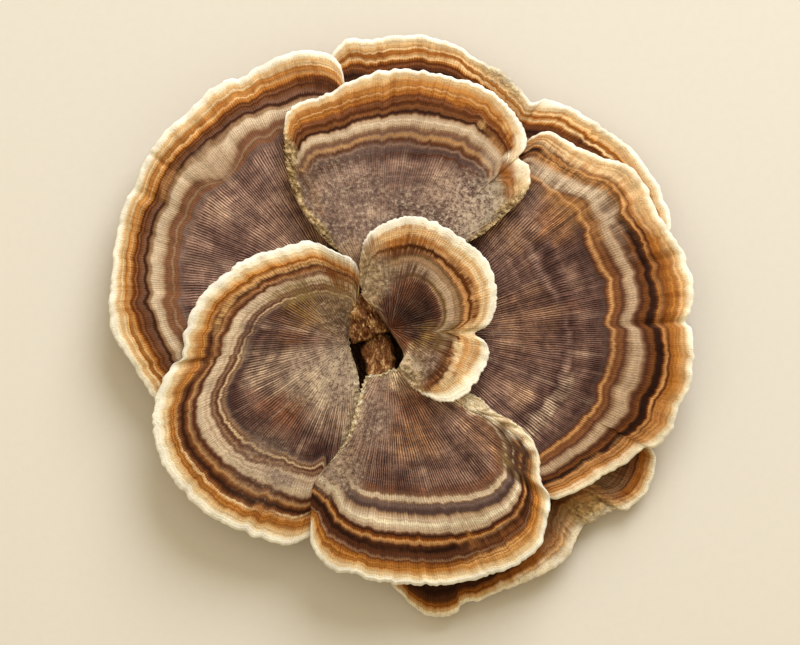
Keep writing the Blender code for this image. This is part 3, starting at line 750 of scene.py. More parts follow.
rightCap = {
    "name": "rightCap", "node": "right_cap", "slot": "cap_brown", "seed": 43, "middle": (10, 0.5),
    "reach": 56, "growth": (9, 0.6), "hub": 12.9, "edge": 12.2, "droop": 1.4, "ripple": (1.1, 7, 2.1),
    "restsOn": ["under_cap", "back_cap"], "keys": (0.54, 0.7, 0.75, 0.82, 0.895, 0.925, 0.968),
    "rayFrom": 0.69, "rimFrom": 0.968,
    "margin":
        "34.5 -32.5, 37 -33.5, 42 -32, 48 -28.5, 52.5 -26, 56 -23, 58 -23, 61.5 -19.5, 63 -15, 65.5 -9.5, "
        "66 -3.5, 65.5 1.5, 64.5 3, 65.5 5, 66 10.5, 64 17, 60.5 22.5, 58 26.5, 56 31.5, 52.5 35, "
        "46.5 37, 41 39.5, 36.5 42, 33 41, 29.5 37, 26 33, 21.5 28.5, 17 24, 13 17.5, 10 11.5, 8.5 5.5, "
        "8 0, 9 -5.5, 12 -11, 17.5 -18.5, 24 -26, 30 -30.5",
    "bands":
        "0 dusk, 0.43 plum, 0.52 dusk, 0.542 mauve, 0.56 dusk, 0.61 plum, 0.65 dusk, 0.681 dusk, "
        "0.688 umber, 0.695 brick, 0.702 tan, 0.709 tan, 0.716 brick, 0.723 chestnut, 0.735 brick, "
        "0.748 umber, 0.756 sienna, 0.765 fawn, 0.78 pale, 0.808 pale, 0.816 fawn, 0.823 sienna, "
        "0.831 umber, 0.838 umber, 0.848 chestnut, 0.856 chestnut, 0.866 soot, 0.88 soot, 0.888 umber, "
        "0.894 rust, 0.899 tan, 0.905 tan, 0.91 chestnut, 0.917 bark, 0.923 rust, 0.929 ochre, "
        "0.935 rust, 0.942 ochre, 0.95 ochre, 0.958 tan, 0.964 apricot, 0.97 tan, 0.977 straw, "
        "0.986 cream, 1 white",
    "course":
        "0 0.66 0.78 0.82 0.87 0.92 0.94 0.97, 0.04 0.64 0.765 0.81 0.86 0.915 0.93 0.97, "
        "0.08 0.61 0.755 0.8 0.85 0.91 0.925 0.965, 0.11 0.59 0.74 0.785 0.84 0.915 0.935 0.975, "
        "0.13 0.57 0.715 0.76 0.82 0.895 0.91 0.95, 0.16 0.555 0.7 0.74 0.815 0.89 0.915 0.965, "
        "0.2 0.545 0.69 0.735 0.815 0.895 0.92 0.97, 0.24 0.54 0.7 0.75 0.82 0.895 0.915 0.965, "
        "0.262 0.545 0.705 0.755 0.805 0.89 0.915 0.965, 0.275 0.54 0.69 0.735 0.785 0.88 0.915 0.965, "
        "0.3 0.52 0.69 0.74 0.795 0.87 0.905 0.96, 0.33 0.5 0.705 0.75 0.8 0.865 0.905 0.96, "
        "0.36 0.5 0.705 0.755 0.81 0.885 0.915 0.965, 0.385 0.5 0.715 0.76 0.815 0.895 0.92 0.965, "
        "0.41 0.5 0.725 0.765 0.815 0.87 0.91 0.965, 0.425 0.5 0.73 0.765 0.81 0.9 0.92 0.965, "
        "0.45 0.52 0.745 0.79 0.84 0.89 0.915 0.965, 0.48 0.55 0.775 0.815 0.865 0.895 0.92 0.965, "
        "0.505 0.58 0.795 0.83 0.88 0.9 0.935 0.97, 0.53 0.6 0.8 0.84 0.87 0.92 0.95 0.975, "
        "0.8 0.6 0.78 0.82 0.86 0.91 0.94 0.97",
    "creases": "0.12 0.5 0.007, 0.267 0.8 0.006, 0.42 0.7 0.006, 0.345 0.3 0.008",
    "ridges":
        "0.985 0.16 0.02, 0.93 0.04 0.02, 0.865 -0.22 0.028, 0.785 0.18 0.03, 0.72 -0.1 0.015, "
        "0.54 0.06 0.02",
    "stains":
        "0.145 0.575 0.045 0.034 frost 0.5, 0.095 0.605 0.045 0.036 frost 0.5, "
        "0.05 0.645 0.04 0.034 frost 0.45, 0.08 0.46 0.06 0.1 mauve 0.45, 0.48 0.64 0.05 0.07 mauve 0.5, "
        "0.26 0.62 0.05 0.06 dusk 0.4, 0.46 0.885 0.1 0.045 tan 0.65, 0.45 0.76 0.11 0.04 tan 0.45, "
        "0.46 0.83 0.11 0.045 bone 0.8, 0.46 0.95 0.12 0.045 straw 0.75, 0.1 0.935 0.11 0.045 tan 0.6, "
        "0.08 0.98 0.1 0.03 cream 0.6, 0.3 0.55 0.04 0.05 brick 0.2, 0.265 0.9 0.005 0.05 brick 0.6",
    # the dusk spot at 22 -8 is a painted shadow cast by the centre cap's lobe
    "spots":
        "30 23.5 9 fawn 0.4, 32 26 6 mauve 0.4, 38 24 6 tan 0.4, 41 4 9 dusk 0.5, 45 -2 7 dusk 0.4, "
        "22 -8 5 dusk 0.5, 30.5 -12 4 pale 0.6, 30 3 10 fawn 0.3"}

topCap = {
    "name": "topCap", "node": "top_cap", "slot": "cap_grey", "seed": 57, "middle": (1.5, 10.5),
    "reach": 44, "growth": (1.5, 7), "hub": 15.4, "edge": 15.4, "droop": 1.0, "ripple": (0.8, 6, 0.7),
    "restsOn": ["left_cap", "right_cap", "back_cap"],
    "keys": (0.61, 0.675, 0.725, 0.81, 0.845, 0.935, 0.965), "rayFrom": 0.63, "rimFrom": 0.96,
    "crustPaints": ("olive", "straw"), "rayStrength": 0.5,
    "margin":
        "19.5 19, 23 21, 27 24.5, 31.5 29, 32.5 32.5, 32 35, 30 36.5, 31.5 38.5, 31.5 41.5, 28.5 46.5, "
        "23 51, 16.5 53, 9 54.5, 2.5 54.5, -5 52, -9.5 49.5, -15.5 47.5, -17.5 45.5, -18 39, -17 32, "
        "-14.5 26, -9.5 19.5, -4.5 15, -3 11.5, -2 9, 0 8, 3 8, 8 11, 14.5 15.5",
    "bands":
        "0 plum, 0.35 plum, 0.55 mauve, 0.58 plum, 0.595 dusk, 0.606 umber, 0.617 dusk, 0.64 dusk, "
        "0.65 sienna, 0.658 mauve, 0.667 sienna, 0.679 umber, 0.686 chestnut, 0.693 fawn, 0.7 tan, "
        "0.707 fawn, 0.716 sienna, 0.724 sienna, 0.735 fawn, 0.745 pale, 0.768 bone, 0.79 pale, "
        "0.798 fawn, 0.805 umber, 0.813 soot, 0.821 soot, 0.83 chestnut, 0.84 brick, 0.85 chestnut, "
        "0.86 umber, 0.868 bark, 0.876 brick, 0.883 brick, 0.89 bark, 0.897 chestnut, 0.904 rust, "
        "0.912 ochre, 0.919 ochre, 0.926 tan, 0.932 tan, 0.939 ochre, 0.946 ochre, 0.953 tan, "
        "0.96 apricot, 0.972 straw, 0.98 straw, 0.992 white",
    "course":
        "0 1.2 1.25 1.3 1.35 1.4 1.45 1.5, 0.08 1.02 1.07 1.12 1.17 1.2 1.25 1.3, "
        "0.1 0.68 0.73 0.78 0.82 0.84 0.88 0.93, 0.12 0.7 0.75 0.79 0.825 0.84 0.89 0.93, "
        "0.145 0.7 0.75 0.79 0.82 0.84 0.89 0.94, 0.165 0.68 0.72 0.76 0.79 0.81 0.84 0.88, "
        "0.18 0.69 0.73 0.78 0.83 0.85 0.88 0.9, 0.2 0.7 0.735 0.79 0.85 0.867 0.91 0.94, "
        "0.23 0.67 0.715 0.77 0.84 0.86 0.92 0.95, 0.26 0.655 0.695 0.755 0.835 0.85 0.925 0.96, "
        "0.3 0.64 0.68 0.745 0.81 0.83 0.925 0.965, 0.34 0.62 0.67 0.73 0.815 0.845 0.935 0.97, "
        "0.38 0.615 0.67 0.725 0.8 0.83 0.93 0.965, 0.42 0.6 0.66 0.715 0.785 0.805 0.9 0.955, "
        "0.46 0.62 0.68 0.73 0.8 0.82 0.91 0.96, 0.5 0.64 0.69 0.745 0.81 0.835 0.93 0.965, "
        "0.54 0.655 0.7 0.76 0.825 0.845 0.925 0.965, 0.575 0.68 0.72 0.785 0.84 0.87 0.93 0.96, "
        "0.6 0.72 0.76 0.83 0.88 0.91 0.96 0.99, 0.64 0.9 0.95 1 1.1 1.15 1.2 1.25, "
        "0.68 1.3 1.35 1.4 1.45 1.5 1.55 1.6, 0.93 1.3 1.35 1.4 1.45 1.5 1.55 1.6",
    "creases": "0.16 0.5 0.01",
    "crusts": "0.575 0.7 0.12 0.95, 0.66 0.92 0.34 0.9, 0.88 0.125 0.17 0.9",
    "ridges": "0.985 0.14 0.02, 0.9 -0.12 0.012, 0.83 -0.22 0.02, 0.77 0.18 0.03, 0.65 -0.08 0.02",
    "stains":
        "0.13 0.7 0.03 0.12 mauve 0.7, 0.25 0.9 0.05 0.03 rust 0.5, 0.22 0.5 0.12 0.12 ash 0.5, "
        "0.62 0.68 0.06 0.12 fawn 0.6, 0.49 0.52 0.03 0.05 fawn 0.5, 0.14 0.85 0.02 0.02 rust 0.6, "
        "0.215 0.845 0.035 0.03 tan 0.5",
    "spots":
        "24 43.5 1.7 bark 0.75, 26.4 41 1.5 bark 0.7, 21 46 1.6 bark 0.6, 27.8 38.4 1.3 bark 0.7, "
        "18 47.6 1.6 rust 0.7, 25.6 44.6 1.5 rust 0.7, 22.6 43.2 1.2 apricot 0.8, "
        "27.4 43 1.3 apricot 0.7, 28.6 40.4 1.3 rust 0.6, -3 14 9 olive 0.5, 22 24 8 frost 0.7, "
        "14 23 4 loam 0.4, 26 30 5 frost 0.5, 2 32 12 plum 0.5, -12 33 7 loam 0.35, 0 22 9 ash 0.35, "
        "28.8 31 5 olive 0.5, 30.6 33.4 3.4 cream 0.8, 30.2 30.4 3.2 straw 0.7, 28.9 36 2.8 cream 0.9, "
        "30.6 40 2.4 cream 0.7, 24.5 36 3 bone 0.4, 27.6 34.2 2.2 rust 0.8, 28.2 31.8 2.2 rust 0.75, "
        "28.2 29.2 2.2 rust 0.6",
    "pits": "19 25 12 1, 8 23 11 0.8, -6 26 15 0.6"}

lowerLeftCap = {
    "name": "lowerLeftCap", "node": "lower_left_cap", "slot": "cap_brown", "seed": 61,
    "middle": (-5.5, -1), "reach": 44, "growth": (-4.5, -1.3), "hub": 16.4, "edge": 13.4, "droop": 1.4,
    "ripple": (1.0, 5, 1.2), "restsOn": ["left_cap", "top_cap"],
    "keys": (0.63, 0.69, 0.777, 0.875, 0.92, 0.945), "rayFrom": 0.615, "rimFrom": 0.938,
    "crustPaints": ("pale", "cream"),
    "margin":
        "-2.5 10.5, -2.5 13.5, -4.5 16, -8 17.5, -12.5 19.5, -19 18, -25.5 16, -30.5 12.5, -34 9.5, "
        "-36.5 6, -38.5 0.5, -39 -4.5, -41 -6, -44 -11.5, -45 -18, -43.5 -25, -40 -30.5, -34 -36.5, "
        "-27 -40, -20 -42.5, -17 -43, -13.5 -41.5, -10.5 -39.5, -8 -35.5, -5.5 -28.5, -3.5 -21.5, "
        "-2.5 -15, -2.5 -10.5, -3 -7, -4 -4, -4.5 -1.5, -4.5 1, -4 3.5, -3 7",
    "bands":
        "0 mauve, 0.25 mauve, 0.36 plum, 0.5 plum, 0.57 dusk, 0.606 dusk, 0.615 plum, 0.626 fawn, "
        "0.638 sienna, 0.644 pale, 0.65 straw, 0.655 sienna, 0.662 umber, 0.669 sienna, 0.677 fawn, "
        "0.684 sienna, 0.69 sienna, 0.698 pale, 0.706 bone, 0.718 pale, 0.735 bone, 0.758 bone, "
        "0.768 pale, 0.775 sienna, 0.783 umber, 0.79 umber, 0.797 brick, 0.806 fawn, 0.815 tan, "
        "0.823 brick, 0.831 chestnut, 0.838 umber, 0.847 soot, 0.858 umber, 0.865 chestnut, 0.873 brick, "
        "0.88 tan, 0.887 tan, 0.894 ochre, 0.901 rust, 0.908 ochre, 0.916 ochre, 0.923 tan, "
        "0.931 apricot, 0.941 straw, 0.951 straw, 0.961 cream, 0.985 white",
    "course":
        "0 0.55 0.64 0.74 0.84 0.88 0.92, 0.04 0.5 0.6 0.7 0.8 0.85 0.9, "
        "0.08 0.45 0.56 0.67 0.8 0.85 0.9, 0.12 0.48 0.585 0.665 0.8 0.85 0.89, "
        "0.16 0.49 0.59 0.68 0.79 0.86 0.9, 0.2 0.53 0.6 0.705 0.8 0.87 0.905, "
        "0.24 0.56 0.62 0.715 0.835 0.885 0.91, 0.28 0.57 0.635 0.74 0.845 0.885 0.93, "
        "0.3 0.6 0.66 0.76 0.85 0.89 0.95, 0.32 0.62 0.685 0.765 0.87 0.91 0.965, "
        "0.335 0.59 0.66 0.74 0.82 0.87 0.94, 0.35 0.57 0.65 0.73 0.79 0.86 0.93, "
        "0.37 0.575 0.65 0.735 0.83 0.875 0.92, 0.39 0.6 0.68 0.755 0.86 0.89 0.93, "
        "0.42 0.635 0.7 0.78 0.872 0.91 0.93, 0.46 0.635 0.695 0.785 0.885 0.915 0.94, "
        "0.5 0.62 0.695 0.775 0.875 0.92 0.945, 0.54 0.6 0.69 0.76 0.88 0.92 0.95, "
        "0.58 0.595 0.66 0.76 0.885 0.925 0.95, 0.6 0.6 0.655 0.76 0.86 0.92 0.95, "
        "0.64 0.61 0.65 0.77 0.86 0.915 0.95, 0.68 0.6 0.68 0.79 0.88 0.93 0.96, "
        "0.74 1.2 1.3 1.4 1.5 1.55 1.6, 0.92 1.5 1.6 1.7 1.8 1.85 1.9, "
        "0.955 0.95 1.05 1.15 1.25 1.3 1.35, 0.985 0.62 0.72 0.82 0.92 0.96 1",
    "creases": "0.335 1 0.012, 0.08 0.4 0.012, 0.2 0.3 0.01, 0.645 0.4 0.012",
    "crusts": "0.72 0.97 0.32 0.55",
    "ridges": "0.98 0.2 0.03, 0.9 -0.05 0.02, 0.85 -0.22 0.025, 0.74 0.18 0.03, 0.66 -0.1 0.02",
    "stains":
        "0.12 0.79 0.12 0.035 apricot 0.7, 0.23 0.81 0.1 0.03 apricot 0.65, "
        "0.11 0.73 0.12 0.03 bark 0.45, 0.24 0.75 0.1 0.03 bark 0.45, 0.13 0.67 0.14 0.035 fawn 0.45, "
        "0.06 0.7 0.03 0.1 bark 0.7, 0.33 0.8 0.05 0.06 brick 0.5, 0.05 0.62 0.03 0.08 rust 0.6, "
        "0.15 0.49 0.1 0.025 olive 0.8, 0.15 0.62 0.1 0.04 olive 0.45, 0.04 0.42 0.04 0.12 olive 0.5, "
        "0.48 0.887 0.07 0.009 straw 0.7, 0.57 0.885 0.05 0.009 straw 0.8, "
        "0.64 0.862 0.04 0.01 straw 0.8, 0.52 0.44 0.1 0.12 sienna 0.7, 0.6 0.7 0.05 0.05 mauve 0.6, "
        "0.33 0.48 0.03 0.12 dusk 0.4, 0.645 0.52 0.015 0.06 dusk 0.7",
    "spots":
        "-20 -7 8 frost 0.45, -12 -9 9 frost 0.6, -8 -15 7 frost 0.5, -18 -17 8 dusk 0.6, "
        "-22 -20 6 plum 0.4, -6.5 -7.5 9 frost 0.95, -4 -11 8 frost 0.9, -22 0.5 6.5 dusk 0.7, "
        "-16 1.8 6.5 loam 0.75, -10 2.4 6 loam 0.8, -13 6.5 7 moss 0.6, -7 4 6 moss 0.75, "
        "-6 9 5 olive 0.5, -17.5 -15 5 brick 0.5, -5 13 6 chestnut 0.4",
    "pits": "-22 -27 10 0.35, -5 -8 10 0.85, -12 -9 9 0.55, -4 -28 6 0.5, -7 4 7 0.6"}

bottomCap = {
    "name": "bottomCap", "node": "bottom_cap", "slot": "cap_brown", "seed": 71, "middle": (5.5, -13),
    "reach": 42, "growth": (3.5, -4.5), "hub": 16.4, "edge": 13.6, "droop": 1.2, "ripple": (0.9, 6, 0.0),
    "restsOn": ["right_cap", "under_cap", "lower_left_cap"],
    "keys": (0.52, 0.615, 0.71, 0.787, 0.87, 0.925, 0.95), "rayFrom": 0.52, "rimFrom": 0.94,
    "crustPaints": ("straw", "cream"),
    "margin":
        "16.5 -10, 12 -8.5, 8 -7, 4.5 -6.5, 1.5 -7.5, -1 -8, -2.5 -11.5, -4 -17, -5.5 -21.5, -8 -25, "
        "-12 -30.5, -12.5 -36.5, -12.5 -42.5, -10 -46.5, -7 -48.5, -4.5 -48.5, -0.5 -50, 7 -51, 16 -51, "
        "24.5 -49, 30.5 -46.5, 34.5 -43, 36 -37.5, 36.5 -33, 34.5 -29.5, 34.5 -26, 33 -21.5, 29 -17.5, "
        "26 -16, 21 -12",
    "bands":
        "0 mauve, 0.12 mauve, 0.22 plum, 0.27 mauve, 0.33 plum, 0.46 plum, 0.495 sienna, 0.516 sienna, "
        "0.528 fawn, 0.537 bone, 0.556 bone, 0.563 fawn, 0.571 plum, 0.586 plum, 0.6 dusk, 0.616 dusk, "
        "0.626 fawn, 0.637 pale, 0.655 bone, 0.67 cream, 0.684 bone, 0.704 pale, 0.713 sienna, "
        "0.721 umber, 0.73 soot, 0.74 bark, 0.748 bark, 0.755 rust, 0.763 tan, 0.776 tan, 0.786 brick, "
        "0.794 umber, 0.802 soot, 0.82 soot, 0.83 umber, 0.852 umber, 0.86 sienna, 0.867 fawn, "
        "0.874 brick, 0.881 chestnut, 0.889 rust, 0.9 ochre, 0.928 ochre, 0.938 apricot, 0.948 straw, "
        "0.958 straw, 0.97 cream, 0.985 white",
    "course":
        "0 1.5 1.6 1.7 1.8 1.85 1.9 1.95, 0.2 1.5 1.6 1.7 1.8 1.85 1.9 1.95, "
        "0.24 1 1.1 1.25 1.4 1.5 1.6 1.65, 0.26 0.9 0.98 1.1 1.2 1.32 1.38 1.42, "
        "0.28 0.8 0.9 1.02 1.11 1.2 1.28 1.31, 0.3 0.7 0.8 0.93 1 1.09 1.13 1.16, "
        "0.32 0.64 0.74 0.845 0.9 1 1.03 1.06, 0.34 0.58 0.67 0.775 0.84 0.92 0.955 0.98, "
        "0.36 0.54 0.63 0.73 0.795 0.88 0.92 0.95, 0.38 0.525 0.62 0.715 0.77 0.865 0.92 0.95, "
        "0.42 0.52 0.61 0.71 0.765 0.84 0.91 0.945, 0.44 0.52 0.61 0.725 0.785 0.87 0.92 0.95, "
        "0.5 0.505 0.605 0.715 0.78 0.865 0.92 0.95, 0.56 0.51 0.61 0.715 0.785 0.87 0.92 0.955, "
        "0.6 0.52 0.625 0.735 0.79 0.875 0.92 0.955, 0.635 0.535 0.635 0.75 0.8 0.87 0.92 0.95, "
        "0.67 0.56 0.66 0.76 0.8 0.87 0.925 0.96, 0.7 0.585 0.68 0.76 0.8 0.865 0.92 0.955, "
        "0.73 0.62 0.715 0.785 0.83 0.88 0.925 0.96, 0.76 0.665 0.755 0.815 0.85 0.885 0.93 0.96, "
        "0.775 0.68 0.76 0.8 0.84 0.87 0.91 0.95, 0.79 0.69 0.75 0.8 0.83 0.86 0.9 0.93, "
        "0.82 0.74 0.8 0.815 0.87 0.9 0.93 0.96, 0.845 0.72 0.8 0.812 0.88 0.91 0.94 0.97, "
        "0.88 0.7 0.75 0.765 0.82 0.85 0.88 0.93, 0.93 0.66 0.7 0.715 0.78 0.81 0.85 0.91, "
        "0.965 0.8 0.84 0.88 0.91 0.94 0.97 1",
    "creases": "0.43 0.4 0.012, 0.63 0.35 0.005, 0.775 1 0.01, 0.8 -0.4 0.012",
    "crusts": "0 0.27 0.12 0.85, 0.87 0.96 0.15 0.4, 0.91 0.02 0.3 0.4",
    "ridges":
        "0.98 0.18 0.025, 0.9 0.04 0.02, 0.82 -0.24 0.03, 0.765 0.08 0.012, 0.66 0.18 0.035, "
        "0.58 -0.1 0.02",
    "stains":
        "0.82 0.85 0.045 0.05 moss 0.75, 0.83 0.76 0.05 0.06 olive 0.85, 0.875 0.82 0.05 0.06 moss 0.85, "
        "0.93 0.78 0.05 0.08 olive 0.9, 0.9 0.9 0.06 0.05 fawn 0.7, 0.9 0.96 0.08 0.04 straw 0.6, "
        "0.8 0.68 0.04 0.05 fawn 0.5, 0.82 0.95 0.05 0.04 straw 0.7, 0.635 0.8 0.01 0.05 ochre 0.5, "
        "0.69 0.84 0.07 0.05 chestnut 0.75, 0.65 0.7 0.06 0.04 olive 0.35, 0.69 0.8 0.06 0.012 fawn 0.7, "
        "0.5 0.8 0.1 0.02 umber 0.5, 0.66 0.905 0.08 0.035 apricot 0.6, 0.64 0.82 0.045 0.03 brick 0.55, "
        "0.72 0.48 0.06 0.03 ash 0.5, 0.3 0.55 0.06 0.12 fawn 0.45",
    # the loam spots from 27.4 -21 to 31.2 -27.5, and the one at 30 -24, are a painted shadow along the inner
    # side of the cream strip on the right
    "spots":
        "5 -7 5 cream 0.6, -1 -17 8 ash 0.7, -5 -26 7 ash 0.75, 0.5 -9.5 6 ash 0.7, 6 -27 8 dusk 0.5, "
        "16 -27 8 dusk 0.35, 8 -15 6 brick 0.5, 7.8 -21 5.5 fawn 0.75, 11.5 -22 4 fawn 0.5, "
        "24 -18.5 7 fawn 0.4, 30 -24 4.5 loam 0.6, 18 -12 3 cream 0.8, 21.5 -13.6 3.2 cream 0.9, "
        "25.4 -16.2 3 cream 0.9, 27.4 -21 3 loam 0.7, 29.8 -24 3.2 loam 0.8, 31.2 -27.5 3.2 loam 0.8, "
        "29.6 -18.6 2.8 cream 0.9, 33 -21.6 2.6 cream 0.9, 34.6 -25.6 2.4 cream 0.85",
    "pits": "-2 -17 8 0.75, -7 -27 8 0.8, 1 -9 5 0.5"}

centreCap = {
    "name": "centreCap", "node": "centre_cap", "slot": "cap_tan", "seed": 83, "middle": (10, 1),
    "reach": 22, "growth": (3.7, 1.6), "hub": 18.6, "edge": 19.6, "droop": 0.7, "ripple": (0.5, 5, 0.5),
    "restsOn": ["top_cap", "right_cap", "bottom_cap", "lower_left_cap"],
    "keys": (0.35, 0.45, 0.53, 0.655, 0.74, 0.9), "rayFrom": 0.42, "rimFrom": 0.87,
    "crustPaints": ("olive", "straw"), "fray": 0.018,
    "margin":
        "-1.5 7.5, 0.5 5.5, 3 2, 5 -1, 6.5 -4, 5.5 -6.5, 7.5 -10, 11.5 -12.5, 15 -13.5, 18.5 -12.5, "
        "22.5 -7.5, 24 -3.5, 23 -1, 21 0.5, 23.5 2, 25 4.5, 25.5 9.5, 23.5 15.5, 19 19.5, 13.5 23, "
        "8.5 24.5, 3.5 23.5, -1 20.5, -2.5 15, -2.5 10.5",
    "bands":
        "0 coal, 0.22 coal, 0.3 loam, 0.335 loam, 0.365 plum, 0.385 fawn, 0.41 fawn, 0.44 moss, "
        "0.46 moss, 0.48 fawn, 0.5 pale, 0.565 pale, 0.585 fawn, 0.62 fawn, 0.64 moss, 0.66 brick, "
        "0.68 tan, 0.7 tan, 0.715 bark, 0.728 bark, 0.742 tan, 0.76 apricot, 0.775 tan, 0.8 tan, "
        "0.82 apricot, 0.845 straw, 0.865 straw, 0.885 apricot, 0.9 straw, 0.93 cream, 1 white",
    "course":
        "0 0.8 0.92 1.05 1.15 1.2 1.25, 0.08 0.85 0.98 1.1 1.2 1.25 1.3, "
        "0.13 0.8 0.92 1.05 1.15 1.2 1.25, 0.17 0.45 0.6 0.75 0.9 1 1.1, "
        "0.21 0.4 0.5 0.65 0.84 0.92 0.97, 0.24 0.35 0.45 0.55 0.7 0.81 0.91, "
        "0.27 0.28 0.38 0.48 0.59 0.72 0.85, 0.3 0.22 0.32 0.42 0.52 0.625 0.81, "
        "0.34 0.18 0.28 0.36 0.46 0.585 0.82, 0.4 0.18 0.28 0.36 0.45 0.56 0.86, "
        "0.43 0.18 0.28 0.36 0.48 0.6 0.9, 0.455 0.15 0.2 0.28 0.4 0.5 0.8, "
        "0.48 0.17 0.22 0.3 0.48 0.58 0.85, 0.51 0.2 0.27 0.36 0.55 0.68 0.87, "
        "0.56 0.25 0.32 0.37 0.54 0.68 0.88, 0.6 0.27 0.34 0.4 0.56 0.69 0.88, "
        "0.64 0.3 0.38 0.46 0.58 0.71 0.88, 0.68 0.36 0.42 0.48 0.63 0.73 0.88, "
        "0.72 0.4 0.45 0.5 0.66 0.74 0.89, 0.76 0.42 0.47 0.52 0.68 0.75 0.89, "
        "0.8 0.45 0.49 0.54 0.69 0.76 0.88, 0.84 0.45 0.5 0.55 0.7 0.79 0.9, "
        "0.88 0.5 0.56 0.62 0.77 0.83 0.92, 0.92 0.55 0.62 0.7 0.85 0.9 0.97, "
        "0.96 0.66 0.76 0.88 1 1.08 1.14",
    "creases": "0.458 1.8 0.016",
    "crusts": "0.88 0.02 0.34 0.3, 0.15 0.235 0.4 0.5, 0.43 0.49 0.55 0.2",
    "ridges": "0.97 0.2 0.05, 0.82 0.05 0.04, 0.74 0.12 0.015, 0.69 -0.4 0.03, 0.55 0.15 0.04",
    "stains":
        "0.8 0.5 0.14 0.15 loam 0.75, 0.8 0.86 0.13 0.05 apricot 0.5, 0.8 0.795 0.13 0.085 rust 0.8, "
        "0.8 0.72 0.14 0.075 umber 0.85, 0.8 0.91 0.12 0.03 tan 0.7, 0.61 0.7 0.06 0.07 bark 0.75, "
        "0.53 0.72 0.05 0.08 bark 0.75, 0.67 0.72 0.05 0.05 chestnut 0.6, 0.39 0.78 0.04 0.1 ochre 0.4, "
        "0.17 0.75 0.055 0.38 bone 0.95, 0.4 0.2 0.1 0.15 coal 0.5, 0.28 0.25 0.1 0.12 coal 0.5, "
        "0.415 0.46 0.012 0.1 bone 0.7, 0.325 0.54 0.006 0.05 tan 0.8, 0.02 0.45 0.06 0.2 umber 0.6",
    "spots":
        "0 13 6.5 moss 0.75, 2.5 9 4.5 loam 0.6, 0 18 4 fawn 0.5, 10.5 -4 4.5 moss 0.85, "
        "13 -6.5 3.8 loam 0.85, 8.6 -7.5 3.6 bone 0.85, 16.3 -5.8 3 tan 0.75, 15 -2.8 4 umber 1, "
        "13.2 -7.8 4 umber 1, 11 -10 2.4 bark 0.8, 20.3 0.9 2.2 straw 0.75, 16.2 1.3 2.4 moss 0.6, "
        "12.5 0 4 moss 0.6, 4 1.5 3.2 umber 0.85, 2 4.5 3 loam 0.7, 5.8 -1.8 2.6 umber 0.8, "
        "6 9 5 loam 0.5, 17.6 -1.8 1.3 straw 0.9, 17.5 -3.4 1.3 straw 0.9, 17.2 -5 1.3 straw 0.9, "
        "16.4 -6.6 1.2 straw 0.85, 15.6 -8.1 1.2 straw 0.85, 14.6 -9.5 1.2 straw 0.85, "
        "13.4 -10.8 1.2 apricot 0.8",
    "pits": "10.5 -5 4 0.6, 8.5 -8 4 0.8, 0.5 12 6 0.6"}

caps = [underCap, backCap, leftCap, rightCap, topCap, lowerLeftCap, bottomCap, centreCap]
capByName = {cap["node"]: cap for cap in caps}
for cap in caps:
    for table in ("margin", "bands", "course", "creases", "crusts", "ridges", "stains", "spots", "pits"):
        cap[table] = rows(cap.get(table, ""))
    cap["curve"] = closedCurve(cap["margin"])
    cap["table"] = radiusTable(cap["curve"], cap["middle"])
unitDisc = makeUnitDisc()
for cap in caps:
    buildCap(cap, unitDisc)
bpy.data.meshes.remove(unitDisc)


stub = {
    "name": "tornStub", "node": "base_stub", "slot": "stub_flesh", "middle": (0.4, -0.4), "steps": 220,
    "top": 16.0, "shoulder": 13.0, "foot": 2.6, "clear": 0.8, "margin": 3.5, "floor": 11.0, "waist": 1.45,
    "column":
        "-2.3 7.4, -3.3 4.3, -3.7 1.2, -3.5 -1, -2.3 -2.9, -1.6 -4.9, -0.4 -6.6, 2.1 -6.2, 3.9 -5.5, "
        "4.9 -4.5, 4.9 -2.7, 3.5 -0.4, 2.1 2.1, 0.6 3.9, -1 5.5",
    "cut": "18 1, 16 8, 10 13, 2 14.5, -7 13, -12.5 7.5, -14 0, -12 -8, -6 -13, 2 -14.5, 10 -13.5, 16 -7"}
# torn lumps in the middle: outline, middle, height, slope across, how ragged
lumps = [
    {"middle": (1.0, -3.8), "top": 16.6, "slope": (0.05, -0.12), "rough": 0.6, "outline":
     "-2.4 -2.2, -0.6 -0.4, 1.6 0.8, 3.4 0.2, 4.5 -2.6, 4.9 -5.3, 4.2 -7.2, 1.2 -8.4, -0.6 -8.6, -1.6 -5.6"},
    {"middle": (-1.0, 2.8), "top": 18.8, "slope": (-0.10, 0.16), "rough": 1.3, "outline":
     "-4.9 6.2, -3.3 9.4, -1 9.4, 1 6.9, 2 4.7, 3.1 2.9, 3.6 1, 2.3 0.4, 0.6 -0.2, -0.8 -1.2, -2.5 -1.4, "
     "-4.1 -1.6, -4.9 0, -4.9 3.3"}]


def outlineTable(outline, middle):
    return radiusTable(closedCurve(rows(outline)), middle)


def ceilingAt(x, y):  # lowest underside over each point, less a clear gap
    lowest = np.full_like(x, 99.0)
    for cap in caps:
        inside = placeInPlan(cap, x, y)[2] < stub["margin"]
        under = topHeight(cap, x, y) - thicknessAt(cap, x, y) - stub["clear"]
        lowest = np.where(inside, np.minimum(lowest, under), lowest)
    return lowest


def tornTop(x, y):  # ragged lumps standing over a dark cleft
    grit = speckle(x * 1.1, y * 1.1, 2) + 0.6 * speckle(x * 2.6, y * 2.6, 4) - 0.8
    strands = speckle(x * 3.2 + y * 1.4, y * 0.7 - x * 0.3, 8) - 0.5
    height = np.full_like(x, stub["floor"]) + 0.6 * grit
    for lump in lumps:
        table = outlineTable(lump["outline"], lump["middle"])
        dx, dy = x - lump["middle"][0], y - lump["middle"][1]
        past = np.hypot(dx, dy) - radiusAt(table, np.arctan2(dy, dx)) + 0.35 * grit
        top = lump["top"] + lump["slope"][0] * dx + lump["slope"][1] * dy
        top = top + lump["rough"] * (0.8 * grit + 0.9 * strands)
        height = np.maximum(height, top - (top - stub["floor"]) * ease(-0.7, 0.3, past))
    return height


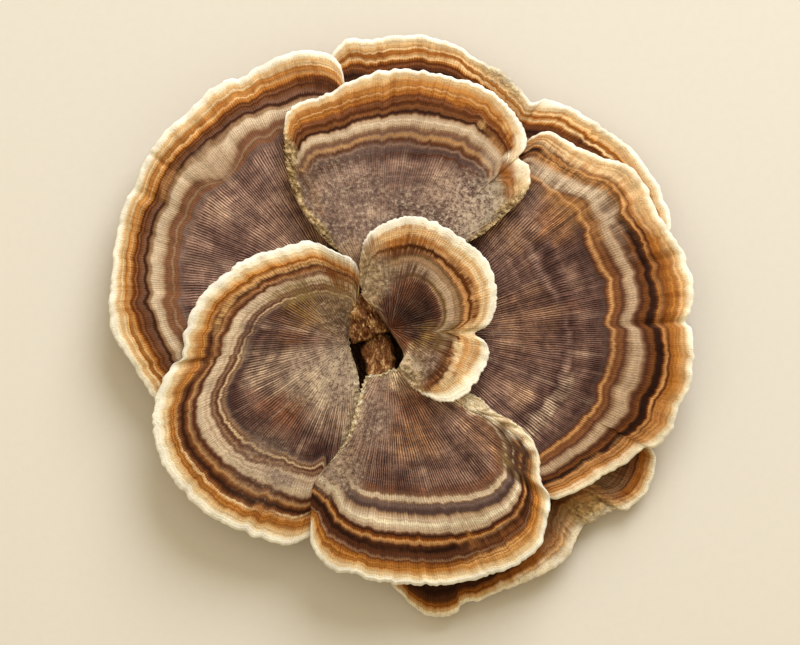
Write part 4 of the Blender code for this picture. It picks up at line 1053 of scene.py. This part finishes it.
def makeStubMaterial():
    material, tree, shader = startMaterial("torn stub flesh")
    point = pointFrom(tree, *stub["middle"])
    strands = noise(tree, shift(tree, "MULTIPLY", point, (1.0, 0.45, 0.25))[0], 1.1, 5.0, 0.7)
    chunks = noise(tree, point, 0.45, 3.0, 0.6)
    crumbs = placeGroup(tree, crumbGroup, {"Point": point})
    skin = bandRamp(tree, remap(tree, strands, 0.30, 0.70), rows(
        "0 bark, 0.2 chestnut, 0.36 brick, 0.52 brick, 0.66 tan, 0.84 apricot, 0.97 straw"))
    skin = blendColour(tree, remap(tree, chunks, 0.42, 0.62, 0.0, 0.35), skin, linear("brick"))
    skin = blendColour(tree, times(tree, crumbs["Pits"], 0.35), skin, linear("umber"))
    # painted shade: the stub darkens towards soot lower down, in the cleft under the caps
    high = wire(tree, "ShaderNodeSeparateXYZ", {0: point}).outputs[2]
    skin = blendColour(tree, remap(tree, high, 15.5, 11.5, 0.0, 0.9), skin, linear("soot"))
    relief = plus(tree, strands, times(tree, crumbs["Grain"], 0.6))
    finishMaterial(tree, shader, skin, 0.9, 0.15, relief, 1.0, 0.6)
    return material


def buildStub():
    steps = stub["steps"]
    torn, side = -2.0, -1.0  # marks for rings on the torn top, and for sides that rise under the caps
    # each ring: blend from column to cut, share of the outline, height or mark
    rings = [(0.0, share, torn) for share in np.linspace(0.0, 0.97, 40)]
    rings += [(0.0, 1.0, stub["top"] - drop) for drop in (3.4, 3.8, 4.2)]
    rings += [(blend, 1.0, side) for blend in np.linspace(0.0, 0.88, 22)]
    rings += rows("0.94 1 2.4, 0.98 1 1.9, 1 1 1.2, 1 1 0.5, 1 0.985 0.1")
    rings += [(1.0, share, 0.0) for share in (0.97, 0.8, 0.6, 0.4, 0.2, 0.0)]
    places = [(0.0 if share == 0.0 else 1.0, 0.0, -float(n)) for n, (_, share, _) in enumerate(rings)]
    mesh = spinRings(stub["name"], places, steps)
    unit = readPlaces(mesh)
    angle = np.rint(np.arctan2(unit[:, 1], unit[:, 0]) / fullTurn * steps) * fullTurn / steps
    blend, share, height = np.array(rings)[np.rint(-unit[:, 2]).astype(int)].T
    column = stub["waist"] * radiusAt(outlineTable(stub["column"], stub["middle"]), angle)
    cut = radiusAt(outlineTable(stub["cut"], stub["middle"]), angle)
    radius = (column + (cut - column) * blend) * share
    x = stub["middle"][0] + radius * np.cos(angle)
    y = stub["middle"][1] + radius * np.sin(angle)
    ceiling = ceilingAt(x, y)
    rise = stub["foot"] + (stub["shoulder"] - stub["foot"]) * (1.0 - blend) ** 0.8
    z = np.where(height == side, np.minimum(rise, ceiling), height)
    z = np.where(height == torn, tornTop(x, y), z)
    shoulder = np.minimum(stub["shoulder"], ceiling)
    z = np.where(height > stub["floor"], np.minimum(height, shoulder), z)
    # lumpy sides
    z = z - np.where(height == side, 0.5 * speckle(x * 0.5, y * 0.5, 6), 0.0)
    finishPiece(stub, mesh, x, y, z, makeStubMaterial())


buildStub()


studio = {
    "floorSize": 6.0, "floorPaint": (0.90, 0.878, 0.82), "lens": 300.0, "sensor": 36.0,
    "frameWidth": 164.0, "frameMiddle": (5.74, 2.77), "subjectHeight": 13.0, "farthest": 20.0,
    "keyPlace": (0.30, 0.82, 0.64), "keySize": 0.81, "keyPower": 11.9, "keyPaint": (0.89, 0.92, 1.0),
    "fillPlace": (-0.6, 0.45, 2.0), "fillSize": 2.2, "fillPower": 8.5, "fillPaint": (1.0, 0.95, 0.87),
    "worldPaint": (1.0, 0.83, 0.54), "worldStrength": 0.48}


def addLight(name):  # a round lamp aimed at the origin
    light = bpy.data.lights.new(name + "Light", "AREA")
    light.shape = "DISK"
    light.size = studio[name + "Size"]
    light.energy = studio[name + "Power"]
    light.color = studio[name + "Paint"]
    lamp = bpy.data.objects.new(name + "Light", light)
    lamp.location = studio[name + "Place"]
    lamp.rotation_euler = lamp.location.to_track_quat("Z", "Y").to_euler()
    bpy.context.scene.collection.objects.link(lamp)


def buildFloor():
    mesh = bmesh.new()
    bmesh.ops.create_grid(mesh, x_segments=2, y_segments=2, size=studio["floorSize"] / 2.0)
    data = bpy.data.meshes.new("floor")
    mesh.to_mesh(data)
    mesh.free()
    floor = bpy.data.objects.new("floor", data)
    bpy.context.scene.collection.objects.link(floor)
    material, tree, shader = startMaterial("paper floor")
    tone = remap(tree, noise(tree, pointFrom(tree, 0.0, 0.0), 0.6, 4.0), 0.3, 0.7)
    paint = tuple(c ** 2.2 for c in studio["floorPaint"])
    darker = tuple(c * 0.985 for c in paint)
    finishMaterial(tree, shader, blendColour(tree, tone, darker, paint), 0.9, 0.1)
    data.materials.append(material)


def buildStudio():
    scene = bpy.context.scene
    buildFloor()
    addLight("key")
    addLight("fill")
    world = bpy.data.worlds.new("studio air")
    scene.world = world
    world.use_nodes = True
    background = world.node_tree.nodes["Background"]
    background.inputs[0].default_value = (*studio["worldPaint"], 1.0)
    background.inputs[1].default_value = studio["worldStrength"]
    lens = bpy.data.cameras.new("camera")
    lens.lens = studio["lens"]
    lens.sensor_width = studio["sensor"]
    lens.clip_end = studio["farthest"]
    camera = bpy.data.objects.new("camera", lens)
    distance = studio["lens"] / studio["sensor"] * studio["frameWidth"] + studio["subjectHeight"]
    camera.location = (studio["frameMiddle"][0] * mm, studio["frameMiddle"][1] * mm, distance * mm)
    scene.collection.objects.link(camera)
    scene.camera = camera
    scene.view_settings.view_transform = "Standard"
    scene.view_settings.look = "None"
    print("studio set")


buildStudio()
